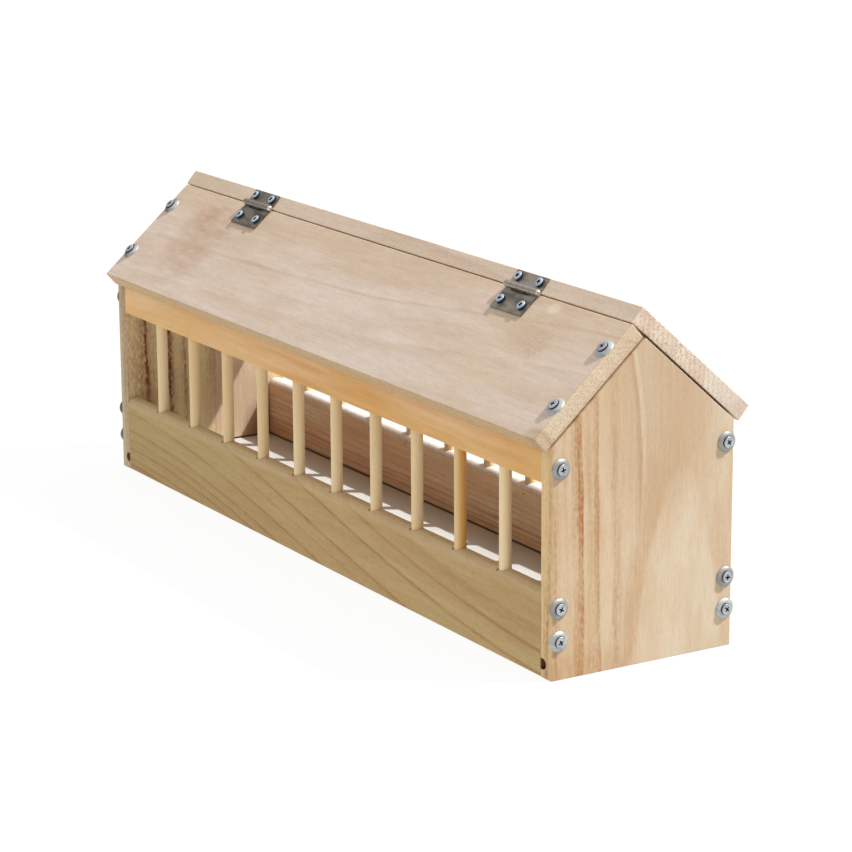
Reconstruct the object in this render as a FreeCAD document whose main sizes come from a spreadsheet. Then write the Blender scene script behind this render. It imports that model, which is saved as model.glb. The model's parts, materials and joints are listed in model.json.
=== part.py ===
import FreeCAD, Part
import math
import os
import Sketcher

# Trough pigeon feeder: a long wooden trough under a pitched roof whose rear half is a hinged lid.
# Millimetres. X runs along the trough, -Y is the front, Z is up, and the feeder stands on z = 0.
# The origin is under the middle of the whole outline.

doc = FreeCAD.newDocument("trough_feeder")

# Driving dimensions
DIMENSIONS = {
    # gables
    "length": 600,
    "width": 135,
    "eaveheight": 147,
    "slope": 41.4,
    "gablethickness": 12,
    "edgeease": 0.6,
    # trough boards and top rails, cut from one stock
    "boardthickness": 12,
    "boardheight": 56,
    "boardround": 5,
    "railheight": 24,
    # floor panel and the round-ended groove that holds it
    "floorthickness": 6,
    "floorlift": 5.3,
    "floorplay": 1,
    "floorfit": 0.2,
    "grooveflat": 2.2,
    # dowels, and the brads that lock two of them on each side
    "doweldiameter": 8,
    "dowelmargin": 49.5,
    "dowelfit": 0.15,
    "dowelseat": 16,
    "dowelhold": 12,
    "braddiameter": 1.2,
    "bradcover": 2,
    "bradfit": 0.05,
    "braddrop": 7.5,
    # roof panel and lid
    "roofthickness": 12,
    "roofinset": 3,
    "eaveoverhang": 4.3,
    "lidthickness": 12,
    "lidoverhang": 7.1,
    "lidlift": 2.3,
    "lidgap": 0.8,
    "lidshift": -1.5,
    "lidseat": 0.1,
    # wood screws and their cup washers
    "screwdiameter": 4,
    "screwlength": 35,
    "screwtip": 4,
    "headdiameter": 7.4,
    "headrim": 0.7,
    "headproud": 1.3,
    "screwfit": 0.1,
    "recessspan": 4.2,
    "recesswidth": 1,
    "recessdepth": 1.3,
    "washerdiameter": 14,
    "washerseat": 0.8,
    "washerrim": 0.5,
    "washerlip": 0.3,
    # where the wood screws go
    "boardscrewedge": 4.9,
    "railscrewedge": 5.8,
    "boardscrewdrop": 10,
    "boardscrewspacing": 21,
    "railscrewheight": 10.5,
    "roofscrewcover": 2.7,
    "upperscrewplace": 21.9,
    "lowerscrewplace": 25.4,
    # butt hinges
    "hingeinset": 122,
    "hingeshift": -0.9,
    "hingelength": 36,
    "leafthickness": 1.2,
    "roofleafreach": 18.9,
    "lidleafmargin": 0.8,
    "barreldiameter": 4.6,
    "barrelrise": 0.1,
    "barrelset": 0.2,
    "knucklegap": 0.3,
    "notchgap": 0.4,
    "pindiameter": 2.4,
    "pinfit": 0.05,
    "pinheaddiameter": 4.4,
    # hinge screws
    "hingescrewdiameter": 2.6,
    "hingescrewlength": 9.5,
    "hingescrewtip": 2,
    "hingeheaddiameter": 6.6,
    "hingeheadheight": 2.2,
    "hingeheadrim": 1,
    "hingerecessspan": 3.4,
    "hingerecesswidth": 0.9,
    "hingerecessdepth": 1.1,
    "hingescrewend": 5.7,
    "roofleafscrew": 12,
    "lidleafscrew": 4.7,
}
DOWELS = 10
# the pinned dowels stand one out from the middle pair
PINNED_DOWELS = (DOWELS // 2 - 1, DOWELS // 2 + 2)
KNUCKLES = 5

sheet = doc.addObject("Spreadsheet::Sheet", "dims")
for row, (alias, size) in enumerate(DIMENSIONS.items(), start=1):
    sheet.set(f"A{row}", alias)
    sheet.set(f"B{row}", str(size))
    sheet.setAlias(f"B{row}", alias)
doc.recompute()

# Values that follow from the driving dimensions
HALF_LENGTH = "dims.length / 2"
HALF_WIDTH = "dims.width / 2"
INNER_LENGTH = "(dims.length - 2 * dims.gablethickness)"
BOARD_INSIDE = "(dims.width / 2 - dims.boardthickness)"
APEX = "(dims.eaveheight + dims.width / 2 * tan(dims.slope))"
SLOPE_RUN = "(dims.width / 2 / cos(dims.slope))"
RAIL_BOTTOM = "(dims.eaveheight - dims.railheight)"
FEED_OPENING = f"({RAIL_BOTTOM} - dims.boardheight)"
GROOVE_HEIGHT = "(dims.floorthickness + dims.floorplay)"
GROOVE_TOP = f"(dims.floorlift + {GROOVE_HEIGHT})"
FLOOR_EDGE = "(dims.grooveflat - dims.floorfit)"
DOWEL_SPAN = f"({INNER_LENGTH} - 2 * dims.dowelmargin)"
DOWEL_PITCH = f"({DOWEL_SPAN} / {DOWELS - 1})"
SOCKET_RADIUS = "dims.doweldiameter / 2 + dims.dowelfit"
BRAD_HEIGHT = "(dims.boardheight - dims.braddrop)"
BRAD_LENGTH = "(dims.boardthickness - dims.bradcover)"
BRAD_HOLE_RADIUS = "dims.braddiameter / 2 + dims.bradfit"

# The front panel runs up past the gables' apex until it just clears the underside of the lid
PANEL_RISE = (
    "((dims.lidlift - dims.lidgap - dims.roofthickness * cos(2 * dims.slope))"
    " / sin(2 * dims.slope))"
)
PANEL_RUN = f"({SLOPE_RUN} + {PANEL_RISE} + dims.eaveoverhang)"
ROOF_LENGTH = "(dims.length - 2 * dims.roofinset)"
RIDGE_Y = f"({PANEL_RISE} * cos(dims.slope) - dims.roofthickness * sin(dims.slope))"
RIDGE_Z = f"({APEX} + {PANEL_RISE} * sin(dims.slope) + dims.roofthickness * cos(dims.slope))"
LID_HEAD = f"(dims.roofthickness * sin(2 * dims.slope) - {PANEL_RISE} * cos(2 * dims.slope))"
LID_RUN = f"({LID_HEAD} + {SLOPE_RUN} + dims.lidoverhang)"

# The lid's overhang is longer than the front panel's, so the gables stand a little forward of centre
FRONT_REACH = f"({PANEL_RUN} * cos(dims.slope) - {RIDGE_Y})"
LID_RISE = "(dims.lidthickness + dims.lidgap)"
REAR_REACH = f"({RIDGE_Y} + {LID_RUN} * cos(dims.slope) + {LID_RISE} * sin(dims.slope))"
CENTRE = f"(({REAR_REACH} - {FRONT_REACH}) / 2)"

# Wood screws: the head's straight rim stands proud of its washer
HEAD_RADIUS = "dims.headdiameter / 2"
SHANK_RADIUS = "dims.screwdiameter / 2"
HOLE_RADIUS = "(dims.screwdiameter / 2 + dims.screwfit)"
HEAD_DEPTH = "(dims.headdiameter - dims.screwdiameter) / 2"
HEAD_SHOULDER = f"({HEAD_DEPTH} + dims.washerseat)"
HEAD_TOP = f"({HEAD_SHOULDER} + dims.headrim)"
WASHER_HEIGHT = f"({HEAD_TOP} - dims.headproud)"
PILOT_DEPTH = f"(dims.screwlength - {HEAD_TOP} + dims.screwfit)"
BOARD_SCREW_Y = "(dims.width / 2 - dims.boardscrewedge)"
RAIL_SCREW_Y = "(dims.width / 2 - dims.railscrewedge)"
HIGH_SCREW = "(dims.boardheight - dims.boardscrewdrop)"
LOW_SCREW = f"({HIGH_SCREW} - dims.boardscrewspacing)"
RAIL_SCREW = f"({RAIL_BOTTOM} + dims.railscrewheight)"
ROOF_SCREW_X = "(dims.length / 2 - dims.gablethickness + dims.roofscrewcover)"
ROOF_SCREW_RUNS = ("dims.upperscrewplace", f"({PANEL_RUN} - dims.lowerscrewplace)")

# Hinges: the axis is also given as seen from the lid, whose own corner is its lower front arris
HINGE_X = "(dims.length / 2 - dims.hingeinset)"
HINGE_SCREW_SPREAD = "(dims.hingelength / 2 - dims.hingescrewend)"
HINGE_HOLE_RADIUS = "(dims.hingescrewdiameter / 2 + dims.screwfit)"
HINGE_PILOT_DEPTH = "(dims.hingescrewlength - dims.leafthickness + dims.screwfit)"
BARREL_RADIUS = "dims.barreldiameter / 2"
BORE_RADIUS = "dims.pindiameter / 2 + dims.pinfit"
BARREL_HEIGHT = "(dims.barreldiameter / 2 + dims.barrelrise)"
NOTCH = "(dims.barreldiameter / 2 + dims.notchgap)"
LID_AXIS_Y = f"(-dims.barrelset * cos(2 * dims.slope) - {BARREL_HEIGHT} * sin(2 * dims.slope))"
LID_AXIS_Z = f"({BARREL_HEIGHT} * cos(2 * dims.slope) - dims.barrelset * sin(2 * dims.slope) - dims.lidgap)"
LID_LEAF_TOP = "(dims.lidthickness - dims.lidleafmargin)"
LID_SCREW_Z = f"({LID_LEAF_TOP} - dims.lidleafscrew)"

X_AXIS = FreeCAD.Vector(1, 0, 0)
Y_AXIS = FreeCAD.Vector(0, 1, 0)
Z_AXIS = FreeCAD.Vector(0, 0, 1)
FRONT, REAR = -1, 1
LEFT, RIGHT = -1, 1

nodes = []


def number(expression):
    return float(sheet.evalExpression(expression))


def mirrored(side, expression):
    return f"({side} * ({expression}))"


def place(item, x="0", y="0", z="0", axis=Z_AXIS, angle="0"):
    turn = FreeCAD.Rotation(axis, number(angle))
    item.Placement = FreeCAD.Placement(FreeCAD.Vector(number(x), number(y), number(z)), turn)
    for name, expression in (("x", x), ("y", y), ("z", z)):
        item.setExpression(f".Placement.Base.{name}", expression)
    if angle != "0":
        item.setExpression(".Placement.Rotation.Angle", angle)


def stand_upright(item):
    place(item, y=f"-{CENTRE}")


def lay_on_roof(item, x="0"):
    # frame of the front roof panel: its upper top arris, Y up the slope, Z square to it
    place(item, x, f"{RIDGE_Y} - {CENTRE}", RIDGE_Z, X_AXIS, "dims.slope")


def lay_on_lid(item, x="0"):
    # frame of the lid: its lower front arris, Y down the rear slope, Z square to it
    y = f"{RIDGE_Y} + dims.lidgap * sin(dims.slope) - {CENTRE}"
    z = f"{RIDGE_Z} + dims.lidgap * cos(dims.slope)"
    place(item, x, y, z, -X_AXIS, "dims.slope")


def keep(item, label):
    item.Label = label
    nodes.append(item)


def new_body(name):
    return doc.addObject("PartDesign::Body", name)


def new_sketch(body, role, lift="0"):
    sketch = body.newObject("Sketcher::SketchObject", f"{body.Name}_outline")
    plane = next(item for item in body.Origin.OriginFeatures if item.Role == role)
    sketch.AttachmentSupport = [(plane, "")]
    sketch.MapMode = "FlatFace"
    if lift != "0":
        sketch.setExpression(".AttachmentOffset.Base.z", lift)
    return sketch


def pin_point(sketch, piece, end, x, y):
    for kind, expression in (("DistanceX", x), ("DistanceY", y)):
        index = sketch.addConstraint(Sketcher.Constraint(kind, -1, 1, piece, end, number(expression)))
        sketch.setExpression(f"Constraints[{index}]", expression)


def draw_arc(start, end, centre_x, turn):
    # the centre's height follows from its X and the two ends
    square = (end.x - centre_x) ** 2 + end.y ** 2 - (start.x - centre_x) ** 2 - start.y ** 2
    centre = FreeCAD.Vector(centre_x, square / (2 * (end.y - start.y)), 0)
    angles = [math.atan2(point.y - centre.y, point.x - centre.x) for point in (start, end)][::turn]
    if angles[1] < angles[0]:
        angles[1] += 2 * math.pi
    return Part.ArcOfCircle(Part.Circle(centre, Z_AXIS, (start - centre).Length), *angles)


def draw_outline(sketch, corners, arcs=None):
    # a closed outline: arcs gives, by the corner where it starts, an arc's centre X and its turn
    arcs = arcs or {}
    points = [FreeCAD.Vector(number(x), number(y), 0) for x, y in corners]
    base = sketch.GeometryCount
    ends = []
    for index, start in enumerate(points):
        end = points[(index + 1) % len(points)]
        if index in arcs:
            centre_x, turn = arcs[index]
            sketch.addGeometry(draw_arc(start, end, number(centre_x), turn), False)
            ends.append((1, 2)[::turn])
        else:
            sketch.addGeometry(Part.LineSegment(start, end), False)
            ends.append((1, 2))
    for index in range(len(points)):
        following = (index + 1) % len(points)
        meet = (base + index, ends[index][1], base + following, ends[following][0])
        sketch.addConstraint(Sketcher.Constraint("Coincident", *meet))
    for index, (x, y) in enumerate(corners):
        pin_point(sketch, base + index, ends[index][0], x, y)
    for index, (centre_x, _) in arcs.items():
        limit = Sketcher.Constraint("DistanceX", -1, 1, base + index, 3, number(centre_x))
        sketch.setExpression(f"Constraints[{sketch.addConstraint(limit)}]", centre_x)


def draw_rectangle(sketch, x_ends, y_ends):
    left, right = x_ends
    low, high = y_ends
    draw_outline(sketch, [(left, low), (right, low), (right, high), (left, high)])


def draw_circles(sketch, centres, radius):
    for x, y in centres:
        centre = FreeCAD.Vector(number(x), number(y), 0)
        piece = sketch.addGeometry(Part.Circle(centre, Z_AXIS, number(radius)), False)
        pin_point(sketch, piece, 3, x, y)
        index = sketch.addConstraint(Sketcher.Constraint("Radius", piece, number(radius)))
        sketch.setExpression(f"Constraints[{index}]", radius)


def pad(body, sketch, length, both_ways=False):
    feature = body.newObject("PartDesign::Pad", f"{body.Name}_pad")
    feature.Profile = sketch
    feature.setExpression("Length", length)
    if both_ways:
        feature.SideType = "Symmetric"
    body.Tip = feature
    doc.recompute()
    return feature


def pocket(body, sketch, length, both_ways=False, forward=False):
    # cuts against the sketch's normal, or along it when forward
    feature = body.newObject("PartDesign::Pocket", f"{body.Name}_pocket")
    feature.Profile = sketch
    feature.setExpression("Length", length)
    feature.Reversed = forward
    if both_ways:
        feature.SideType = "Symmetric"
    body.Tip = feature
    doc.recompute()
    return feature


def revolve(body, sketch):
    feature = body.newObject("PartDesign::Revolution", f"{body.Name}_turned")
    feature.Profile = sketch
    feature.ReferenceAxis = (sketch, ["V_Axis"])
    body.Tip = feature
    doc.recompute()


def ease_edges(body, feature, wanted):
    edges = feature.Shape.Edges
    names = [f"Edge{index}" for index, edge in enumerate(edges, start=1) if wanted(edge)]
    fillet = body.newObject("PartDesign::Fillet", f"{body.Name}_ease")
    fillet.Base = (feature, names)
    fillet.setExpression("Radius", "dims.edgeease")
    body.Tip = fillet
    doc.recompute()


def long_edges_at(height):
    # picks the arrises that run along the trough at one height
    level = number(height)

    def wanted(edge):
        start, end = edge.Vertexes
        return abs(start.X - end.X) > 1 and abs(start.Z - level) < 1e-6 and abs(end.Z - level) < 1e-6

    return wanted


def primitive(kind, name, **sizes):
    item = doc.addObject(f"Part::{kind}", name)
    for prop, expression in sizes.items():
        item.setExpression(prop, expression)
    return item


def box(name, x, y, z):
    # each of x, y and z is a low and a high end
    spans = [f"({high}) - ({low})" for low, high in (x, y, z)]
    item = primitive("Box", name, Length=spans[0], Width=spans[1], Height=spans[2])
    place(item, x[0], y[0], z[0])
    return item


def rod(name, radius, x, y, z, length, axis=Z_AXIS, angle="0"):
    item = primitive("Cylinder", name, Radius=radius, Height=length)
    place(item, x, y, z, axis, angle)
    return item


def fuse(name, items):
    item = doc.addObject("Part::MultiFuse", name)
    item.Shapes = items
    item.Refine = True
    return item


def cut(name, base, tool):
    item = doc.addObject("Part::Cut", name)
    item.Base = base
    item.Tool = tool
    return item


def copies(name, master, places):
    # separate copies of one fastener, each at its own place, as one group
    links = []
    for index, (x, y, z, axis, angle) in enumerate(places, start=1):
        link = doc.addObject("App::Link", f"{name}_{index}")
        link.LinkedObject = master
        place(link, x, y, z, axis, angle)
        links.append(link)
    group = doc.addObject("Part::Compound", name)
    group.Links = links
    return group


def groove_arc(mouth, inward):
    # corners of the floor groove from the bottom of its mouth to the top, cut inward from that face
    end = f"({mouth} + {mirrored(inward, 'dims.grooveflat')})"
    corners = [(mouth, "dims.floorlift"), (end, "dims.floorlift"), (end, GROOVE_TOP), (mouth, GROOVE_TOP)]
    return corners, end


# Gables


def make_gable(name, side):
    body = new_body(name)
    inner = mirrored(side, f"{HALF_LENGTH} - dims.gablethickness")
    outer = mirrored(side, HALF_LENGTH)
    profile = new_sketch(body, "YZ_Plane", inner if side == RIGHT else outer)
    corners = [
        (f"-{HALF_WIDTH}", "0"),
        (HALF_WIDTH, "0"),
        (HALF_WIDTH, "dims.eaveheight"),
        ("0", APEX),
        (f"-{HALF_WIDTH}", "dims.eaveheight"),
    ]
    draw_outline(profile, corners)
    blank = pad(body, profile, "dims.gablethickness")
    face = number(outer)
    ease_edges(body, blank, lambda edge: all(abs(end.X - face) < 1e-6 for end in edge.Vertexes))

    groove = new_sketch(body, "XZ_Plane")
    corners, centre = groove_arc(inner, side)
    draw_outline(groove, corners, {1: (centre, side)})
    pocket(body, groove, "dims.width", both_ways=True)

    holes = new_sketch(body, "YZ_Plane")
    draw_circles(holes, gable_screw_points(), HOLE_RADIUS)
    pocket(body, holes, "dims.length", both_ways=True)

    pilots = new_sketch(body, "XY_Plane")
    tilt = FreeCAD.Rotation(X_AXIS, number("dims.slope"))
    pilots.AttachmentOffset = FreeCAD.Placement(FreeCAD.Vector(), tilt)
    pilots.setExpression(".AttachmentOffset.Base.y", RIDGE_Y)
    pilots.setExpression(".AttachmentOffset.Base.z", RIDGE_Z)
    pilots.setExpression(".AttachmentOffset.Rotation.Angle", "dims.slope")
    draw_circles(pilots, roof_screw_points(side), HOLE_RADIUS)
    pocket(body, pilots, PILOT_DEPTH)
    stand_upright(body)
    keep(body, name)


def gable_screw_points():
    spots = ((BOARD_SCREW_Y, LOW_SCREW), (BOARD_SCREW_Y, HIGH_SCREW), (RAIL_SCREW_Y, RAIL_SCREW))
    return [(mirrored(side, y), height) for side in (FRONT, REAR) for y, height in spots]


def roof_screw_points(side):
    return [(mirrored(side, ROOF_SCREW_X), f"-{run}") for run in ROOF_SCREW_RUNS]


# Trough boards and rails


def drill_end_pilots(body, points):
    # the gable screws bite into both ends
    pilots = new_sketch(body, "YZ_Plane", f"{INNER_LENGTH} / 2")
    draw_circles(pilots, points, HOLE_RADIUS)
    drilled = pocket(body, pilots, f"{PILOT_DEPTH} - dims.gablethickness")
    both = body.newObject("PartDesign::Mirrored", f"{body.Name}_both_ends")
    both.Originals = [drilled]
    plane = next(item for item in body.Origin.OriginFeatures if item.Role == "YZ_Plane")
    both.MirrorPlane = (plane, [""])
    body.Tip = both
    doc.recompute()


def drill_dowel_sockets(body, y, height, depth, upward):
    socket = new_sketch(body, "XY_Plane", height)
    draw_circles(socket, [(dowel_x(1), y)], SOCKET_RADIUS)
    drilled = pocket(body, socket, depth, forward=upward)
    row_of_sockets = body.newObject("PartDesign::LinearPattern", f"{body.Name}_sockets")
    row_of_sockets.Originals = [drilled]
    row_of_sockets.Direction = (socket, ["H_Axis"])
    row_of_sockets.setExpression("Length", DOWEL_SPAN)
    row_of_sockets.Occurrences = DOWELS
    body.Tip = row_of_sockets
    doc.recompute()


def dowel_x(index):
    return f"(-{DOWEL_SPAN} / 2 + {index - 1} * {DOWEL_PITCH})"


def dowel_y(side):
    return mirrored(side, f"{HALF_WIDTH} - dims.boardthickness / 2")


def make_board(name, side):
    body = new_body(name)
    outside = mirrored(side, HALF_WIDTH)
    inside = mirrored(side, BOARD_INSIDE)
    round_out = mirrored(side, f"{HALF_WIDTH} - dims.boardround")
    round_in = mirrored(side, f"{BOARD_INSIDE} + dims.boardround")
    shoulder = "dims.boardheight - dims.boardround"
    groove, groove_centre = groove_arc(inside, side)
    corners = [(outside, "0"), (inside, "0"), *groove, (inside, shoulder)]
    corners += [(round_in, "dims.boardheight"), (round_out, "dims.boardheight"), (outside, shoulder)]
    arcs = {3: (groove_centre, side), 6: (round_in, -side), 8: (round_out, -side)}
    profile = new_sketch(body, "YZ_Plane")
    draw_outline(profile, corners, arcs)
    blank = pad(body, profile, INNER_LENGTH, both_ways=True)
    ease_edges(body, blank, long_edges_at("0"))
    drill_dowel_sockets(body, dowel_y(side), "dims.boardheight", "dims.dowelseat", upward=False)
    screw_y = mirrored(side, BOARD_SCREW_Y)
    drill_end_pilots(body, [(screw_y, LOW_SCREW), (screw_y, HIGH_SCREW)])
    brad_holes = new_sketch(body, "XZ_Plane", mirrored(-side, BOARD_INSIDE))
    points = [(dowel_x(index), BRAD_HEIGHT) for index in PINNED_DOWELS]
    draw_circles(brad_holes, points, BRAD_HOLE_RADIUS)
    pocket(body, brad_holes, f"{BRAD_LENGTH} + dims.bradfit", forward=side == FRONT)
    stand_upright(body)
    keep(body, name)


def make_rail(name, side, lift):
    # the top is planed to the roof's slope: the rear one stands proud of the gables and seats the lid
    body = new_body(name)
    outside = mirrored(side, HALF_WIDTH)
    inside = mirrored(side, BOARD_INSIDE)
    outer_top = f"dims.eaveheight + {lift} / cos(dims.slope)"
    inner_top = f"{outer_top} + dims.boardthickness * tan(dims.slope)"
    profile = new_sketch(body, "YZ_Plane")
    corners = [(outside, RAIL_BOTTOM), (inside, RAIL_BOTTOM), (inside, inner_top), (outside, outer_top)]
    draw_outline(profile, corners)
    blank = pad(body, profile, INNER_LENGTH, both_ways=True)
    ease_edges(body, blank, long_edges_at(RAIL_BOTTOM))
    drill_dowel_sockets(body, dowel_y(side), RAIL_BOTTOM, "dims.dowelhold", upward=True)
    drill_end_pilots(body, [(mirrored(side, RAIL_SCREW_Y), RAIL_SCREW)])
    stand_upright(body)
    keep(body, name)


# Floor


def make_floor():
    half_x = f"({INNER_LENGTH} / 2 + {FLOOR_EDGE})"
    half_y = f"({BOARD_INSIDE} + {FLOOR_EDGE})"
    floor = box(
        "floor_panel",
        (f"-{half_x}", half_x),
        (f"-{half_y} - {CENTRE}", f"{half_y} - {CENTRE}"),
        ("dims.floorlift", "dims.floorlift + dims.floorthickness"),
    )
    keep(floor, "floor_panel")


# Dowels and brads


def make_dowels(side_name, side):
    bottom = "dims.boardheight - dims.dowelseat + dims.dowelfit"
    length = f"{FEED_OPENING} + dims.dowelseat + dims.dowelhold - 2 * dims.dowelfit"
    radius = "dims.doweldiameter / 2"
    y = f"{dowel_y(side)} - {CENTRE}"
    for index in range(1, DOWELS + 1):
        name = f"{side_name}_dowel_{index:02d}"
        if index in PINNED_DOWELS:
            blank = rod(f"{name}_blank", radius, dowel_x(index), y, bottom, length)
            hole = rod(f"{name}_hole", BRAD_HOLE_RADIUS, dowel_x(index), f"{y} - dims.doweldiameter",
                       BRAD_HEIGHT, "2 * dims.doweldiameter", -X_AXIS, "90")
            dowel = cut(name, blank, hole)
        else:
            dowel = rod(name, radius, dowel_x(index), y, bottom, length)
        keep(dowel, name)


def make_brads(side_name, side):
    # driven outward from the board's inner face, through the dowel
    outward = -X_AXIS if side == REAR else X_AXIS
    y = f"{mirrored(side, BOARD_INSIDE)} - {CENTRE}"
    brads = [rod(f"{side_name}_brad_{index}", "dims.braddiameter / 2", dowel_x(index), y, BRAD_HEIGHT,
                 BRAD_LENGTH, outward, "90") for index in PINNED_DOWELS]
    group = doc.addObject("Part::Compound", f"{side_name}_brads")
    group.Links = brads
    keep(group, group.Name)


# Roof panel and lid


def hinge_x(side):
    return f"({side} * {HINGE_X} + dims.hingeshift)"


def hinge_screw_x(side, step):
    return f"({hinge_x(side)} + {step} * {HINGE_SCREW_SPREAD})"


def make_front_roof():
    body = new_body("front_roof_panel")
    profile = new_sketch(body, "YZ_Plane")
    draw_rectangle(profile, (f"-{PANEL_RUN}", "0"), ("-dims.roofthickness", "0"))
    blank = pad(body, profile, ROOF_LENGTH, both_ways=True)
    ease_edges(body, blank, lambda edge: True)
    holes = new_sketch(body, "XY_Plane")
    draw_circles(holes, roof_screw_points(LEFT) + roof_screw_points(RIGHT), HOLE_RADIUS)
    pocket(body, holes, "dims.roofthickness")
    pilots = new_sketch(body, "XY_Plane")
    points = [(hinge_screw_x(side, step), "-dims.roofleafscrew")
              for side in (LEFT, RIGHT) for step in (-1, 1)]
    draw_circles(pilots, points, HINGE_HOLE_RADIUS)
    pocket(body, pilots, HINGE_PILOT_DEPTH)
    lay_on_roof(body)
    keep(body, "front_roof_panel")


def make_lid():
    body = new_body("lid_panel")
    profile = new_sketch(body, "YZ_Plane")
    draw_rectangle(profile, ("0", LID_RUN), ("0", "dims.lidthickness"))
    blank = pad(body, profile, ROOF_LENGTH, both_ways=True)
    ease_edges(body, blank, lambda edge: True)
    pilots = new_sketch(body, "XZ_Plane")
    points = [(f"{hinge_screw_x(side, step)} - dims.lidshift", LID_SCREW_Z)
              for side in (LEFT, RIGHT) for step in (-1, 1)]
    draw_circles(pilots, points, HINGE_HOLE_RADIUS)
    pocket(body, pilots, HINGE_PILOT_DEPTH)
    lay_on_lid(body, "dims.lidshift")
    keep(body, "lid_panel")


# Hinges


def knuckle_span(index):
    # neighbouring knuckles stand a gap apart, and the outer two end flush with the leaf
    low = f"{index} * dims.hingelength / {KNUCKLES}"
    high = f"{index + 1} * dims.hingelength / {KNUCKLES}"
    if index > 0:
        low += " + dims.knucklegap / 2"
    if index < KNUCKLES - 1:
        high += " - dims.knucklegap / 2"
    return low, high


def make_leaf(name, plate, tab, axis, knuckles, holes):
    # plate and tab each give the leaf's spans in Y and Z, and axis the barrel's centre in Y and Z
    pieces = [box(f"{name}_plate", ("0", "dims.hingelength"), *plate)]
    for index in knuckles:
        low, high = knuckle_span(index)
        reach = f"({high}) - ({low})"
        pieces.append(box(f"{name}_tab_{index}", (low, high), *tab))
        pieces.append(rod(f"{name}_knuckle_{index}", BARREL_RADIUS, low, *axis, reach, Y_AXIS, "90"))
    bore = rod(f"{name}_bore", BORE_RADIUS, "0", *axis, "dims.hingelength", Y_AXIS, "90")
    return cut(name, fuse(f"{name}_solid", pieces), fuse(f"{name}_holes", [bore, *holes]))


def leaf_holes(name, y, z, axis, angle):
    middle = "dims.hingelength / 2"
    depth = "3 * dims.leafthickness"
    return [rod(f"{name}_hole_{step}", HINGE_HOLE_RADIUS, f"{middle} + {step} * {HINGE_SCREW_SPREAD}", y, z,
                depth, axis, angle) for step in (-1, 1)]


def make_hinge(side_name, side):
    start = f"{hinge_x(side)} - dims.hingelength / 2"
    flat = ("0", "dims.leafthickness")

    name = f"{side_name}_hinge_roof_leaf"
    notch = f"-dims.barrelset - {NOTCH}"
    holes = leaf_holes(name, "-dims.roofleafscrew", "-dims.leafthickness", Z_AXIS, "0")
    leaf = make_leaf(
        name,
        plate=(("-dims.roofleafreach", notch), flat),
        tab=((notch, "-dims.barrelset"), flat),
        axis=("-dims.barrelset", BARREL_HEIGHT),
        knuckles=range(0, KNUCKLES, 2),
        holes=holes,
    )
    lay_on_roof(leaf, start)
    keep(leaf, name)

    name = f"{side_name}_hinge_lid_leaf"
    notch = f"{LID_AXIS_Z} + {NOTCH}"
    upright = ("-dims.leafthickness", "0")
    holes = leaf_holes(name, "dims.leafthickness", LID_SCREW_Z, X_AXIS, "90")
    leaf = make_leaf(
        name,
        plate=(upright, (notch, LID_LEAF_TOP)),
        tab=(upright, ("0", notch)),
        axis=(LID_AXIS_Y, LID_AXIS_Z),
        knuckles=range(1, KNUCKLES, 2),
        holes=holes,
    )
    lay_on_lid(leaf, start)
    keep(leaf, name)

    name = f"{side_name}_hinge_pin"
    axis = ("-dims.barrelset", BARREL_HEIGHT)
    pieces = [rod(f"{name}_rod", "dims.pindiameter / 2", "0", *axis, "dims.hingelength", Y_AXIS, "90")]
    for end, x in ((LEFT, "0"), (RIGHT, "dims.hingelength")):
        head = primitive("Sphere", f"{name}_head", Radius="dims.pinheaddiameter / 2", Angle1="0")
        place(head, x, *axis, end * Y_AXIS, "90")
        pieces.append(head)
    pin = fuse(name, pieces)
    lay_on_roof(pin, start)
    keep(pin, name)


# Fasteners


def cut_cross_recess(body, height, span, width, depth):
    recess = new_sketch(body, "XY_Plane", height)
    far = f"{span} / 2"
    near = f"{width} / 2"
    corners = [(far, near), (near, near), (near, far)]
    corners += [(f"-{near}", far), (f"-{near}", near), (f"-{far}", near)]
    corners += [(f"-{x}", f"-{y}") for x, y in corners[:3]]
    corners += [(near, f"-{far}"), (near, f"-{near}"), (far, f"-{near}")]
    draw_outline(recess, corners)
    pocket(body, recess, depth)


def make_wood_screw():
    # countersunk head with a straight rim above the washer, which sits on z = 0
    body = new_body("wood_screw")
    profile = new_sketch(body, "XZ_Plane")
    end = f"{HEAD_TOP} - dims.screwlength"
    corners = [("0", end), (SHANK_RADIUS, f"{end} + dims.screwtip"), (SHANK_RADIUS, "dims.washerseat")]
    corners += [(HEAD_RADIUS, HEAD_SHOULDER), (HEAD_RADIUS, HEAD_TOP), ("0", HEAD_TOP)]
    draw_outline(profile, corners)
    revolve(body, profile)
    cut_cross_recess(body, HEAD_TOP, "dims.recessspan", "dims.recesswidth", "dims.recessdepth")
    return body


def make_cup_washer():
    body = new_body("cup_washer")
    profile = new_sketch(body, "XZ_Plane")
    rim = "dims.washerdiameter / 2"
    mouth = f"({HOLE_RADIUS} + {WASHER_HEIGHT} - dims.washerseat)"
    crown = f"({mouth} + dims.washerlip)"
    corners = [(HOLE_RADIUS, "0"), (rim, "0"), (rim, "dims.washerrim"), (crown, WASHER_HEIGHT)]
    corners += [(mouth, WASHER_HEIGHT), (HOLE_RADIUS, "dims.washerseat")]
    draw_outline(profile, corners, {2: (crown, 1)})
    revolve(body, profile)
    return body


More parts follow.
